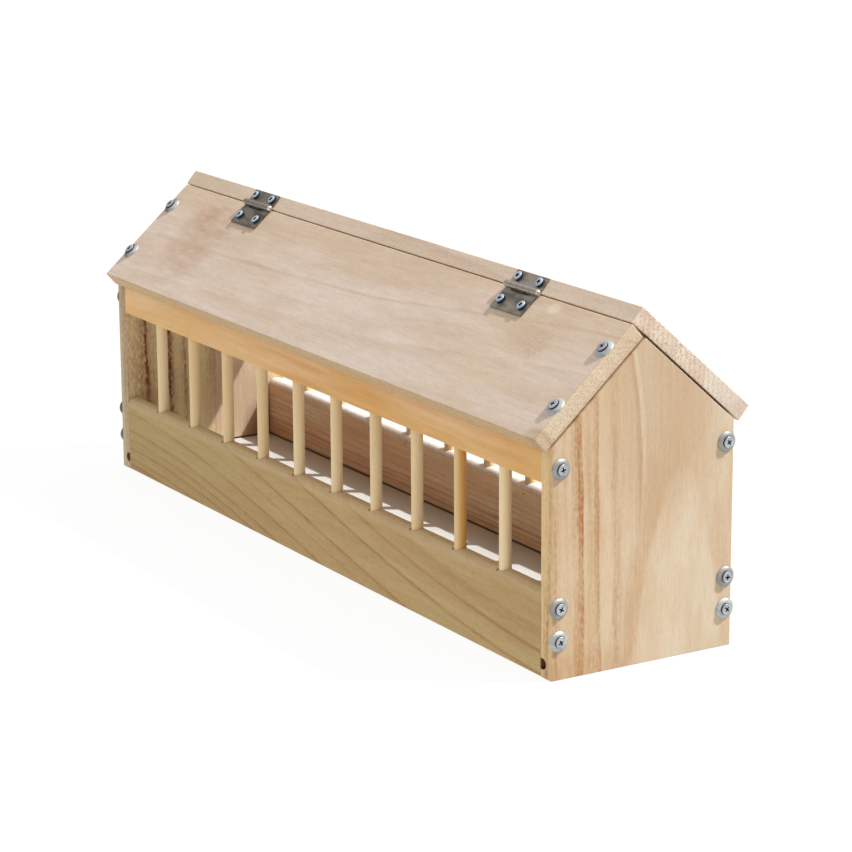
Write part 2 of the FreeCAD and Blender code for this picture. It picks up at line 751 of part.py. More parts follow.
def make_hinge_screw():
    # raised round head, which sits on z = 0
    body = new_body("hinge_screw")
    profile = new_sketch(body, "XZ_Plane")
    shank = "dims.hingescrewdiameter / 2"
    rim = "dims.hingeheaddiameter / 2"
    end = "-dims.hingescrewlength"
    corners = [("0", end), (shank, f"{end} + dims.hingescrewtip"), (shank, "0")]
    corners += [(rim, "0"), (rim, "dims.hingeheadrim"), ("0", "dims.hingeheadheight")]
    draw_outline(profile, corners, {4: ("0", 1)})
    revolve(body, profile)
    cut_cross_recess(body, "dims.hingeheadheight", "dims.hingerecessspan", "dims.hingerecesswidth",
                     "dims.hingerecessdepth")
    return body


def make_fasteners():
    screw = make_wood_screw()
    washer = make_cup_washer()
    hinge_screw = make_hinge_screw()
    for side_name, side in (("left", LEFT), ("right", RIGHT)):
        face = mirrored(side, HALF_LENGTH)
        places = [(face, y, z, side * Y_AXIS, "90") for y, z in gable_screw_points()]
        for kind, master in (("screws", screw), ("cup_washers", washer)):
            group = copies(f"{side_name}_gable_{kind}", master, places)
            stand_upright(group)
            keep(group, group.Name)
        columns = [hinge_screw_x(side, step) for step in (-1, 1)]
        places = [(x, "-dims.roofleafscrew", "dims.leafthickness", Z_AXIS, "0") for x in columns]
        group = copies(f"{side_name}_hinge_roof_screws", hinge_screw, places)
        lay_on_roof(group)
        keep(group, group.Name)
        places = [(x, "-dims.leafthickness", LID_SCREW_Z, X_AXIS, "90") for x in columns]
        group = copies(f"{side_name}_hinge_lid_screws", hinge_screw, places)
        lay_on_lid(group)
        keep(group, group.Name)
    places = [(x, y, "0", Z_AXIS, "0") for x, y in roof_screw_points(LEFT) + roof_screw_points(RIGHT)]
    for kind, master in (("screws", screw), ("cup_washers", washer)):
        group = copies(f"roof_{kind}", master, places)
        lay_on_roof(group)
        keep(group, group.Name)


make_gable("left_gable", LEFT)
make_gable("right_gable", RIGHT)
make_board("front_board", FRONT)
make_board("rear_board", REAR)
make_rail("front_rail", FRONT, "0")
make_rail("rear_rail", REAR, "(dims.lidlift - dims.lidseat)")
make_floor()
for side_name, side in (("front", FRONT), ("rear", REAR)):
    make_dowels(side_name, side)
    make_brads(side_name, side)
make_front_roof()
make_lid()
for side_name, side in (("left", LEFT), ("right", RIGHT)):
    make_hinge(side_name, side)
make_fasteners()
doc.recompute()

# Soundness: no failed feature, no cut that takes nothing away, no broken sub-part
for item in doc.Objects:
    if "Invalid" in item.State or "Error" in item.State:
        raise RuntimeError(f"{item.Label} failed: {item.State}")
    if item.TypeId == "PartDesign::Pocket" and item.Shape.Volume >= item.BaseFeature.Shape.Volume:
        raise RuntimeError(f"{item.Label} cuts nothing")
for node in nodes:
    if node.Shape.isNull() or not node.Shape.isValid():
        raise RuntimeError(f"{node.Label} has no sound shape")

os.makedirs("parts", exist_ok=True)
for node in nodes:
    node.Shape.exportStep(f"parts/{node.Label}.step")
print(f"{len(nodes)} sub-parts written")
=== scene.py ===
import json
import math

import bmesh
import bpy
from mathutils import Euler, Matrix, Vector


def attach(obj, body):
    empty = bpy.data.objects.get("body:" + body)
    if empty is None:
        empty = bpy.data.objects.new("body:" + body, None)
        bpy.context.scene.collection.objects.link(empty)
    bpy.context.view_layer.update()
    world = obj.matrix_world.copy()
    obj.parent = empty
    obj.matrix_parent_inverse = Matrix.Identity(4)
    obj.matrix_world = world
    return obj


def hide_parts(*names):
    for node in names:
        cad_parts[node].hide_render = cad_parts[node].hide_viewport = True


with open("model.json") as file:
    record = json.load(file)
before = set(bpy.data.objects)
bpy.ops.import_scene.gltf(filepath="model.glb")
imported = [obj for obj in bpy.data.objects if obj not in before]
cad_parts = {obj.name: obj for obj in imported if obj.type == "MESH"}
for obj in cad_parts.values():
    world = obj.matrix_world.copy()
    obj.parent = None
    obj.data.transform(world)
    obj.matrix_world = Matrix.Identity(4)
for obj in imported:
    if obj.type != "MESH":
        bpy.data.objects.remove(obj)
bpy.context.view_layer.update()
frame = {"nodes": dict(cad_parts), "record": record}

scene = bpy.context.scene
nodes = frame["nodes"]
mm = 0.001
roofSlope = 41.4   # degrees, of the roof panel and of the lid
dowelPitch = 53.0  # from dowel to dowel along a row
print("frame loaded,", len(nodes), "nodes")


# shader maths: a wrapped socket, whose sums add Math nodes

class Wire:
    def __init__(self, tree, socket=None):
        self.tree = tree
        self.socket = socket

    def node(self, kind, settings=None, sockets=None, out=0):
        item = self.tree.nodes.new(kind)
        for name, value in (settings or {}).items():
            if name == "stops":
                fillRamp(item.color_ramp, value)
            else:
                setattr(item, name, value)
        for name, value in (sockets or {}).items():
            self.plug(item.inputs[name], value)
        return Wire(self.tree, item.outputs[out])

    def plug(self, target, value):
        if isinstance(value, Wire):
            self.tree.links.new(value.socket, target)
        else:
            target.default_value = value

    def maths(self, operation, *values):
        return self.node("ShaderNodeMath", {"operation": operation}, dict(enumerate(values)))

    def __add__(self, other):
        return self.maths("ADD", self, other)

    def __radd__(self, other):
        return self.maths("ADD", other, self)

    def __sub__(self, other):
        return self.maths("SUBTRACT", self, other)

    def __rsub__(self, other):
        return self.maths("SUBTRACT", other, self)

    def __mul__(self, other):
        return self.maths("MULTIPLY", self, other)

    def __rmul__(self, other):
        return self.maths("MULTIPLY", other, self)

    def __truediv__(self, other):
        return self.maths("DIVIDE", self, other)

    def __rtruediv__(self, other):
        return self.maths("DIVIDE", other, self)

    def __abs__(self):
        return self.maths("ABSOLUTE", self)


def fillRamp(ramp, stops):
    ramp.interpolation = "EASE"
    while len(ramp.elements) > 1:
        ramp.elements.remove(ramp.elements[-1])
    for index, (place, tone) in enumerate(stops):
        stop = ramp.elements[0] if index == 0 else ramp.elements.new(place)
        stop.position = place
        stop.color = (tone, tone, tone, 1)


def colour(red, green, blue):
    # screen levels from 0 to 255, made linear
    def straight(level):
        level /= 255
        return level / 12.92 if level <= 0.04045 else ((level + 0.055) / 1.055) ** 2.4
    return (straight(red), straight(green), straight(blue), 1)


def blendColour(wire, first, second, share):
    return wire.node("ShaderNodeMix", {"data_type": "RGBA"}, {0: share, 6: first, 7: second}, out=2)


def paint(wire, base, look, **masks):
    # lays a look's colours on one after the other, each by its mask and its own share
    for name, mask in masks.items():
        base = blendColour(wire, base, look[name], mask * look.get(name + "Share", 1.0))
    return base


def scaleColour(wire, base, share):
    return wire.node("ShaderNodeVectorMath", {"operation": "SCALE"}, {0: base, "Scale": share})


def step(wire, value, start, end, low=0.0, high=1.0):
    sockets = {"Value": value, "From Min": start, "From Max": end, "To Min": low, "To Max": high}
    return wire.node("ShaderNodeMapRange", {"interpolation_type": "SMOOTHSTEP"}, sockets)


def between(wire, value, rise, fall):
    # one where the value has risen past one soft limit and not yet past the other
    return step(wire, value, *rise) * (1.0 - step(wire, value, *fall))


def root(wire, value):
    return wire.maths("SQRT", wire.maths("MAXIMUM", value, 0.0))


cloudDrift = (1.0, 1.7, 0.6)  # how far a shift of one moves the noise each way
noiseMiddle = 0.5             # the value that noise runs about


def cloud(wire, coords, size, detail, shift):
    # noise whose lumps measure size along, across and through the grain
    scale = tuple(1 / length for length in size)
    drift = tuple(shift * share for share in cloudDrift)
    moved = wire.node("ShaderNodeVectorMath", {"operation": "MULTIPLY_ADD"}, {0: coords, 1: scale, 2: drift})
    return wire.node("ShaderNodeTexNoise", None, {"Vector": moved, "Scale": 1.0, "Detail": detail})


def split(wire, coords):
    parts = wire.node("ShaderNodeSeparateXYZ", None, {0: coords})
    holder = parts.socket.node
    return [Wire(wire.tree, socket) for socket in holder.outputs]


def flatPlace(wire, first, second):
    # two coordinates alone, so that a pattern runs straight through the board
    return wire.node("ShaderNodeCombineXYZ", None, {0: first, 1: second})


def relief(wire, height, look):
    sockets = {"Strength": look["bump"], "Distance": look["bumpDepth"] * mm, "Height": height}
    return wire.node("ShaderNodeBump", None, sockets)


def newMaterial(name):
    material = bpy.data.materials.new(name)
    material.use_nodes = True
    tree = material.node_tree
    return material, Wire(tree), tree.nodes["Principled BSDF"]


def feed(wire, shader, **values):
    for name, value in values.items():
        wire.plug(shader.inputs[name.replace("_", " ")], value)


def dress(names, material):
    for name in names:
        slots = nodes[name].data.materials
        slots.clear()
        slots.append(material)


def nodesNamed(word):
    return sorted(name for name in nodes if word in name)


# camera, where the photograph was taken from

cameraLook = {"azimuth": 58.831, "elevation": 14.383, "roll": -0.309, "distance": 2.0738,
              "aim": (0.01403, 0.01524, 0.08759), "focal": 125.907, "sensor": 36.0}


def addCamera():
    turn = math.radians(cameraLook["azimuth"])
    lift = math.radians(cameraLook["elevation"])
    roll = math.radians(cameraLook["roll"])
    back = Vector((math.sin(turn) * math.cos(lift), -math.cos(turn) * math.cos(lift), math.sin(lift)))
    right = Vector((math.cos(turn), math.sin(turn), 0))
    up = back.cross(right)
    rolledRight = math.cos(roll) * right + math.sin(roll) * up
    rolledUp = math.cos(roll) * up - math.sin(roll) * right
    data = bpy.data.cameras.new("camera")
    data.lens = cameraLook["focal"]
    data.sensor_width = cameraLook["sensor"]
    camera = bpy.data.objects.new("camera", data)
    scene.collection.objects.link(camera)
    place = Matrix.Translation(Vector(cameraLook["aim"]) + back * cameraLook["distance"])
    camera.matrix_world = place @ Matrix((rolledRight, rolledUp, back)).transposed().to_4x4()
    scene.camera = camera


# pale floor and soft light, with the key from high behind the right end

lightLook = {"keyFrom": (0.347, 0.514, 0.785), "keyStrength": 3.8, "keySpread": 1.6,
             "keyColour": (1.0, 0.985, 0.96), "skyTop": 1.0, "skyRim": 0.2, "skySpan": (0.0, 0.9),
             "skyTint": (1.0, 1.0, 1.0), "floorSide": 30.0, "floorDrop": 0.4 * mm, "floorTone": (80, 80, 80),
             "floorGlow": 0.92, "floorRough": 0.9, "floorShine": 0.1}


def addStage():
    mesh = bpy.data.meshes.new("floor")
    ground = bmesh.new()
    bmesh.ops.create_grid(ground, x_segments=1, y_segments=1, size=lightLook["floorSide"] / 2)
    bmesh.ops.translate(ground, verts=ground.verts, vec=(0, 0, -lightLook["floorDrop"]))
    ground.to_mesh(mesh)
    ground.free()
    floor = bpy.data.objects.new("floor", mesh)
    scene.collection.objects.link(floor)
    material, wire, shader = newMaterial("paleFloor")
    feed(wire, shader, Base_Color=colour(*lightLook["floorTone"]), Roughness=lightLook["floorRough"],
         Specular_IOR_Level=lightLook["floorShine"], Emission_Color=(1, 1, 1, 1),
         Emission_Strength=lightLook["floorGlow"])
    mesh.materials.append(material)


def addLight():
    data = bpy.data.lights.new("key", "SUN")
    data.energy = lightLook["keyStrength"]
    data.color = lightLook["keyColour"]
    data.angle = math.radians(lightLook["keySpread"])
    key = bpy.data.objects.new("key", data)
    key.rotation_euler = Vector(lightLook["keyFrom"]).to_track_quat("Z", "Y").to_euler()
    scene.collection.objects.link(key)
    world = bpy.data.worlds.new("softSky")
    world.use_nodes = True
    scene.world = world
    wire = Wire(world.node_tree)
    direction = wire.node("ShaderNodeTexCoord", out="Generated")
    height = wire.node("ShaderNodeSeparateXYZ", None, {0: direction}, out="Z")
    strength = step(wire, height, *lightLook["skySpan"], lightLook["skyRim"], lightLook["skyTop"])
    background = world.node_tree.nodes["Background"]
    wire.plug(background.inputs["Color"], (*lightLook["skyTint"], 1))
    wire.plug(background.inputs["Strength"], strength)
    scene.view_settings.view_transform = "Standard"
    print("camera, floor and light placed")


# wood: coordinates in millimetres from each board's own corner, the first one along the grain

def grainBox(name, turn):
    turned = Euler(turn).to_matrix()
    places = [turned @ (vertex.co / mm) for vertex in nodes[name].data.vertices]
    low = Vector(min(place[axis] for place in places) for axis in range(3))
    high = Vector(max(place[axis] for place in places) for axis in range(3))
    return low, high - low


def grainPlace(wire, name, look):
    turn = [math.radians(angle) for angle in look["turn"]]
    low, size = grainBox(name, turn)
    sockets = {"Vector": wire.node("ShaderNodeTexCoord", out="Object"), "Location": tuple(-low),
               "Rotation": turn, "Scale": (1 / mm, 1 / mm, 1 / mm)}
    return wire.node("ShaderNodeMapping", None, sockets), size


def ramp(wire, value, stops):
    # a tone read off a list of places in millimetres and their tones
    span = stops[-1][0]
    places = [(place / span, tone) for place, tone in stops]
    return wire.node("ShaderNodeValToRGB", {"stops": places}, {0: value / span})


def archedFigure(wire, along, across, arch):
    # growth rings cut nearly flat: arches round the heart line, straight lines away from it
    fromHeart = abs(across - arch["heart"] + (along - arch["leanFrom"]) * arch["lean"])
    rounded = root(wire, fromHeart * fromHeart + (along - arch["foot"]) * arch["rise"])
    straight = step(wire, fromHeart, *arch["straighten"])
    return rounded + (fromHeart - rounded) * straight


def sweptFigure(wire, along, across, sweep):
    # growth rings that run off one edge of the board in a long curve
    swept = step(wire, along, sweep["start"], sweep["end"], 0.0, sweep["drop"])
    return across + swept + along * sweep["lean"]


rimCore = 0.4  # the share of its reach over which a rim is whole


def rim(wire, part, length, reach):
    # one on the two faces that end the board in this direction, nought between them
    return step(wire, abs(part - length / 2), length / 2 - reach, length / 2 - reach * rimCore)


smudgeSpan = (0.05, 1.0)


def smudge(wire, parts, middle, reach, share):
    # a soft patch, given by its middle and its reach along and across the grain
    besideMiddle = (parts[0] - middle[0]) / reach[0]
    aboveMiddle = (parts[1] - middle[1]) / reach[1]
    fromMiddle = besideMiddle * besideMiddle + aboveMiddle * aboveMiddle
    return (1.0 - step(wire, fromMiddle, *smudgeSpan)) * share


# detail of each kind of noise in wood, and what it adds to the seed
woodNoise = {"wander": (1.0, 0), "waver": (2.0, 3), "patch": (1.0, 7), "streak": (3.0, 11),
             "fine": (2.0, 17), "fuzz": (2.0, 19), "pore": (1.0, 23), "scuff": (2.0, 29),
             "blotch": (2.0, 31), "speck": (2.0, 41)}

# a Size is in millimetres, a Span is where something starts and is whole, a Share is how much of it shows
plainWood = {"wanderSize": (240, 36, 36), "waverSize": (50, 7, 7), "slant": 0.5, "face": 12.0,
             "fade": [(0, 1.0), (600, 1.0)], "fadeAcross": [(0, 1.0), (600, 1.0)],
             "patchSize": (90, 10, 10), "patchSpan": (0.3, 0.7), "patchy": 0.55, "patchMost": 1.1,
             "broken": 0.6, "dashed": 0.0, "calm": 0.0, "stir": 2.0, "streakSize": (42, 1.8, 1.8),
             "fine": 0.2, "fineSize": (14, 0.6, 0.6), "fuzz": 0.0, "fuzzSize": (3.4, 1.8, 1.8),
             "scuff": 0.06, "scuffSize": (8, 1.3, 8), "scuffTurn": 0.5,
             "poreShare": 0.16, "poreSize": (8, 0.7, 0.7), "poreSpan": (0.62, 0.74),
             "blotchSize": (150, 30, 30), "blotchSpan": (0.34, 0.66),
             "outsideSpan": (4.0, 9.0), "outsideShare": 0.75, "outsideClear": 0.5,
             "edgeReach": 0.5, "edgeSpeck": 0.0, "edgeClear": 0.0, "ridgeReach": (0.5, 0.2),
             "endReach": 0.5, "endCalm": 0.7, "endRing": 0.0, "endRingSpan": (0.04, 0.34), "endPitch": 4.6,
             "endSlant": 0.8, "speck": 0.3, "speckReach": 0.5, "speckSize": (1.5, 1.5, 1.5),
             "speckSpan": (0.5, 0.66), "specks": colour(150, 106, 68),
             "heights": {"streak": 0.5, "fine": 0.5, "scuff": 0.3, "pores": -0.5, "specks": -0.5,
                         "ring": -0.25},
             "bump": 0.25, "bumpDepth": 0.3, "rough": 0.62, "streakRough": 0.16, "poreRough": 0.1,
             "shine": 0.28}
plainSweep = {"start": 0.0, "end": 600.0, "lean": 0.0}  # from end to end of the boards

upright = (0, 90, 0)       # grain turned from the vertical
faceForward = (-90, 0, 0)  # boards on edge, seen from the front


def woodFinish(title, name, wood, marks=None):
    material, wire, shader = newMaterial(title)
    coords, size = grainPlace(wire, name, wood)
    wood = dict(wood, size=size)
    parts = split(wire, coords)
    along, across, deep = parts

    def noise(kind, place=coords):
        detail, shift = woodNoise[kind]
        return cloud(wire, place, wood[kind + "Size"], detail, wood["seed"] + shift)

    def swing(kind, place=coords):
        return noise(kind, place) - noiseMiddle

    # fibres, pores and blotches
    streak = swing("streak")
    fine = swing("fine")
    fuzz = swing("fuzz")
    turned = wire.node("ShaderNodeMapping", None, {"Vector": coords, "Rotation": (0, 0, wood["scuffTurn"])})
    scuff = swing("scuff", turned)
    pores = step(wire, noise("pore"), *wood["poreSpan"])
    blotch = step(wire, noise("blotch"), *wood["blotchSpan"])

    # growth rings on the faces
    wander = swing("wander") * wood["wander"]
    waver = swing("waver") * wood["waver"]
    lean = (deep - wood["face"]) * wood["slant"]
    shape = archedFigure if "arch" in wood else sweptFigure
    figure = shape(wire, along, across + wander + waver + lean, wood.get("arch") or wood["sweep"])
    ring = ramp(wire, figure, wood["rings"]) * ramp(wire, along, wood["fade"])
    ring = ring * ramp(wire, across, wood["fadeAcross"])
    patchy = step(wire, noise("patch"), *wood["patchSpan"], wood["patchy"], wood["patchMost"])
    ring = ring * patchy * (1.0 - streak * wood["broken"] - fuzz * wood["dashed"])

    # sawn ends and edges
    ends = rim(wire, along, size[0], wood["endReach"])
    edges = rim(wire, across, size[1], wood["edgeReach"])
    sawnEnds = rim(wire, along, size[0], wood["speckReach"])
    sawn = wire.maths("MAXIMUM", sawnEnds * wood["speck"], edges * wood["edgeSpeck"])
    specks = step(wire, noise("speck"), *wood["speckSpan"]) * sawn
    years = wire.maths("FRACT", (across + deep * wood["endSlant"] + wander + waver) / wood["endPitch"])
    fromMiddle = abs(years - 0.5)  # each year runs from nought to one
    endRings = (1.0 - step(wire, fromMiddle, *wood["endRingSpan"])) * ends * wood["endRing"]

    base = blendColour(wire, wood["pale"], wood["warm"], blotch)
    if "outside" in wood:
        outside = step(wire, abs(deep - wood["inner"]), *wood["outsideSpan"])
        base = paint(wire, base, wood, outside=outside)
        ring = ring * (1.0 - outside * wood["outsideClear"])
    if "edgeSpan" in wood:
        edges = edges * (1.0 - step(wire, abs(deep - wood["inner"]), *wood["edgeSpan"]))
    for tint, mask in (("edge", edges), ("end", ends)):
        if tint in wood:
            base = paint(wire, base, wood, **{tint: mask})
    if "ridge" in wood:
        start, whole = (size[1] - reach for reach in wood["ridgeReach"])
        base = paint(wire, base, wood, ridge=step(wire, across, start, whole))
    ring = ring * (1.0 - edges * wood["edgeClear"])
    base = paint(wire, base, wood, late=ring)
    base = paint(wire, base, wood, late=endRings, pore=pores, specks=specks)
    if marks:
        base = marks(wire, base, parts, wood)

    # the streaks are calmer between the rings than in them
    stirred = 1.0 - wood["calm"] + ring * (wood["stir"] * wood["calm"])
    grain = streak * stirred * wood["streak"] + fine * wood["fine"]
    grain = grain + scuff * wood["scuff"] + fuzz * wood["fuzz"]
    base = scaleColour(wire, base, 1.0 + grain * (1.0 - ends * wood["endCalm"]))
    layers = {"streak": streak, "fine": fine, "scuff": scuff, "pores": pores, "specks": specks, "ring": ring}
    height = sum(layers[layer] * share for layer, share in wood["heights"].items())
    rough = wood["rough"] + streak * wood["streakRough"] + pores * wood["poreRough"]
    feed(wire, shader, Base_Color=base, Roughness=rough, Normal=relief(wire, height, wood),
         Specular_IOR_Level=wood["shine"])
    return material


# gables: on the right one the rings make an arch round a heart line

heartLook = {"heart": 97.0, "foot": 80.0, "rise": 11.8, "narrowing": 1.2,
             "fibreNoise": ((14, 1.5, 1.5), 3.0, 6.0), "fibreSpan": (0.3, 0.7, 0.55, 1.1),
             "strayNoise": ((20, 6, 6), 2.0, 9.0), "stray": 7.0,
             "tan": colour(188, 155, 120), "tanShare": 0.85, "tanStart": (20.0, 24.5), "tanEnd": (29.0, 42.0),
             "tanFade": 0.6, "fadeRight": (-4.0, 8.0), "fadeUp": (110.0, 150.0),
             "gold": colour(194, 154, 98), "goldShare": 0.2, "goldSpan": (25.0, 75.0),
             "brown": colour(172, 122, 72), "brownSpot": ((0, 24), (22, 40), 0.4),
             "bow": 13.5, "bowMiddle": 122.0, "bowReach": 100.0, "bowStray": 0.15,
             "dark": colour(168, 130, 92), "darkShare": 0.5, "darkStart": (31.0, 31.9),
             "darkEnd": (32.2, 36.5), "darkRise": (70.0, 125.0),
             "pale": colour(212, 197, 173), "paleShare": 0.42, "paleStart": (27.0, 29.0),
             "paleEnd": (30.4, 31.4), "paleRise": (108.0, 128.0)}


def heartMarks(wire, base, parts, band):
    # a tan arch round the heart, broken up by fibres, and one bowed ring beside it with a pale line
    along, across = parts[:2]
    flat = flatPlace(wire, along, across)
    fibre = step(wire, cloud(wire, flat, *band["fibreNoise"]), *band["fibreSpan"])
    stray = (cloud(wire, flat, *band["strayNoise"]) - noiseMiddle) * band["stray"]
    side = across - band["heart"]
    wide = wire.maths("MAXIMUM", side * band["narrowing"], -1.0 * side) + stray
    arch = root(wire, wide * wide + (along - band["foot"]) * band["rise"])
    tan = between(wire, arch, band["tanStart"], band["tanEnd"]) * fibre
    tan = tan * (1.0 - step(wire, side, *band["fadeRight"]) * band["tanFade"])
    tan = tan * (1.0 - step(wire, along, *band["fadeUp"]) * band["tanFade"])
    gold = 1.0 - step(wire, across, *band["goldSpan"])
    brown = smudge(wire, parts, *band["brownSpot"]) * fibre
    rise = (along - band["bowMiddle"]) / band["bowReach"]
    bowed = band["heart"] - across - rise * rise * band["bow"] + stray * band["bowStray"]
    dark = between(wire, bowed, band["darkStart"], band["darkEnd"]) * step(wire, along, *band["darkRise"])
    pale = between(wire, bowed, band["paleStart"], band["paleEnd"]) * step(wire, along, *band["paleRise"])
    return paint(wire, base, band, tan=tan, gold=gold, brown=brown, dark=dark * fibre, pale=pale * fibre)


# the groove's reach is the square of a distance
gableShade = {"grooveRise": 8.8, "grooveDepth": 2.2, "grooveReach": (12.3, 13.2), "grooveMouth": (0.02, 0.1),
             "cornerShadowDepth": (0.5, 2.0), "apex": 206.5, "slopeSkin": (0.05, 0.5), "lidSpan": (66.0, 69.0),
             "raggedNoise": ((7, 2, 2), 3.0, 5.0), "ragged": 3.0, "frontShort": 1.3, "reachSpan": (1.8, 3.0),
             "share": 0.65, "lidShare": 0.25, "front": colour(92, 62, 40), "underLid": colour(66, 42, 27)}


def gableMarks(wire, base, parts, wood):
    # a soft patch (on the left gable a painted sunlit patch, on the right a darker patch towards the top), a
    # painted shadow in the left gable's rear corner, painted shade in the floor groove, and painted shade on
    # the sawn slopes under the roof
    along, across, deep = parts
    look = gableShade
    width, thickness = wood["size"][1:]
    inward = abs(deep - wood["inner"])
    # on the left gable's inner face a painted sunlit patch; on the right gable a darker patch towards the top
    haze = smudge(wire, parts, *wood["hazeSpot"])
    if "outside" in wood:
        haze = haze * (1.0 - step(wire, inward, *wood["outsideSpan"]))
    base = paint(wire, base, wood, haze=haze)
    # painted shadow of the rear board, low in the left gable's rear corner, on the inner face only
    if "corner" in wood:
        inside = 1.0 - step(wire, inward, *look["cornerShadowDepth"])
        base = paint(wire, base, wood, corner=smudge(wire, parts, *wood["cornerSpot"]) * inside)
    if "band" in wood:
        base = heartMarks(wire, base, parts, wood["band"])
    # painted shade inside the floor groove
    past = wire.maths("MAXIMUM", inward - look["grooveDepth"], 0.0)
    rise = along - look["grooveRise"]
    groove = 1.0 - step(wire, past * past + rise * rise, *look["grooveReach"])
    base = paint(wire, base, wood, groove=groove * step(wire, inward, *look["grooveMouth"]))
    # painted shade: a dark line on the sawn slopes where the roof panel and the lid rest, wider and darker
    # under the lid
    below = look["apex"] - abs(across - width / 2) * math.tan(math.radians(roofSlope)) - along
    ragged = cloud(wire, flatPlace(wire, across, deep), *look["raggedNoise"]) * look["ragged"]
    underLid = step(wire, across, *look["lidSpan"])
    reach = thickness - inward + ragged - (1.0 - underLid) * look["frontShort"]
    dirt = (1.0 - step(wire, below, *look["slopeSkin"])) * step(wire, reach, *look["reachSpan"])
    dirt = dirt * (look["share"] + underLid * look["lidShare"])
    tone = blendColour(wire, look["front"], look["underLid"], underLid)
    return blendColour(wire, base, tone, dirt)


gableLook = dict(plainWood, turn=upright, seed=3.0, wander=3.0, waver=2.4, face=0.0, inner=12.0,
                 streak=0.32, calm=0.6, streakSize=(40, 2.0, 2.0), patchy=0.7, broken=1.3, dashed=1.8,
                 fuzz=0.12, blotchSize=(46, 15, 15), band=heartLook,
                 arch={"heart": 97.5, "foot": 80.0, "rise": 11.5, "straighten": (25.0, 50.0),
                       "lean": 0.02, "leanFrom": 100.0},
                 rings=[(0, 0.0), (13, 0.0), (20, 0.04), (28, 0.1), (36, 0.12), (44, 0.06), (47, 0.12),
                        (49.5, 0.32), (52, 0.42), (54.5, 0.1), (58, 0.04), (62.6, 0.06), (64, 0.7),
                        (65.4, 0.4), (68, 0.24), (71, 0.36), (72.6, 0.16), (74.6, 0.08), (75.6, 0.82),
                        (77.4, 0.82), (79.5, 0.56), (82, 0.4), (84.5, 0.08), (88, 0.22), (91, 0.04),
                        (94, 0.22), (96.4, 0.55), (98, 0.25)],
                 fade=[(0, 1.0), (60, 0.95), (74, 0.8), (92, 1.0), (115, 0.95), (140, 0.85), (206, 0.7)],
                 fadeAcross=[(0, 1.0), (96, 1.0), (108, 0.6), (135, 0.5)],
                 pale=colour(206, 188, 162), warm=colour(201, 178, 149), late=colour(156, 100, 48),
                 pore=colour(150, 108, 72), edge=colour(246, 215, 161), edgeShare=0.95,
                 # the patch below is darker, towards the top of the right gable
                 haze=colour(184, 156, 125), hazeSpot=((165, 80), (85, 52), 0.52), groove=colour(104, 56, 40))

leftGableLook = dict(gableLook, seed=37.0, inner=0.0, streak=0.4, streakSize=(70, 2.4, 2.4), calm=0.0,
                     blotchSize=(150, 30, 30), patchy=0.9, broken=0.7,
                     sweep=dict(plainSweep, end=206.0, drop=3.0),
                     rings=[(0, 0.4), (8, 0.45), (12, 0.5), (15, 0.6), (17.5, 0.95), (21, 0.35), (27, 0.2),
                            (33, 0.4), (37, 1.0), (41, 0.4), (44, 0.14), (48, 0.3), (50, 0.6), (53, 0.16),
                            (60, 0.1), (66, 0.06), (71, 0.38), (76, 0.56), (80, 0.34), (86, 0.06),
                            (100, 0.3), (104, 0.1), (120, 0.3), (124, 0.1), (138, 0.2)],
                     fade=[(0, 0.5), (45, 0.7), (70, 1.0), (206, 1.0)], fadeAcross=plainWood["fadeAcross"],
                     pale=colour(246, 230, 182), warm=colour(237, 214, 158), late=colour(124, 60, 38),
                     edge=colour(209, 189, 150), outside=colour(204, 184, 152),
                     # the patch below is a painted sunlit patch on the inner face
                     haze=colour(224, 198, 172), hazeSpot=((40, 98), (66, 38), 0.85),
                     # the corner colour below is a painted shadow of the rear board
                     corner=colour(138, 88, 66), cornerSpot=((14, 126), (36, 32), 0.8),
                     groove=colour(140, 102, 72))
del leftGableLook["arch"], leftGableLook["band"]


# trough boards and rails

# the reach of a gap is the square of a distance
frontMarks = {"green": colour(166, 144, 92), "greenSpan": (40.0, 330.0), "greenShare": 0.4,
              "crown": colour(214, 189, 150), "litTopSpan": (47.0, 54.0), "crownShare": 0.5,
              "gap": colour(112, 66, 40), "firstDowel": 49.5, "gapBeside": 2.4, "gapDepth": 10.2,
              "gapReach": (0.2, 1.0), "gapRise": (50.0, 51.0)}


def dowelMarks(wire, base, parts, wood):
    # greener left end, painted light on the pale rounded top, and painted shade in the gaps beside the dowels
    # where they enter the board
    look = frontMarks
    along, across, deep = parts
    green = 1.0 - step(wire, along, *look["greenSpan"])
    # painted light: the rounded top is paler, as bounced light makes it
    crown = step(wire, across, *look["litTopSpan"])
    # painted shade in the gap round each dowel's hole, just left of and in front of the dowel
    offset = along - look["firstDowel"]
    offset = offset - wire.maths("ROUND", offset / dowelPitch) * dowelPitch
    beside = offset + look["gapBeside"]
    before = deep - look["gapDepth"]
    gap = 1.0 - step(wire, beside * beside + before * before, *look["gapReach"])
    gap = gap * step(wire, across, *look["gapRise"])
    return paint(wire, base, look, green=green, crown=crown, gap=gap)


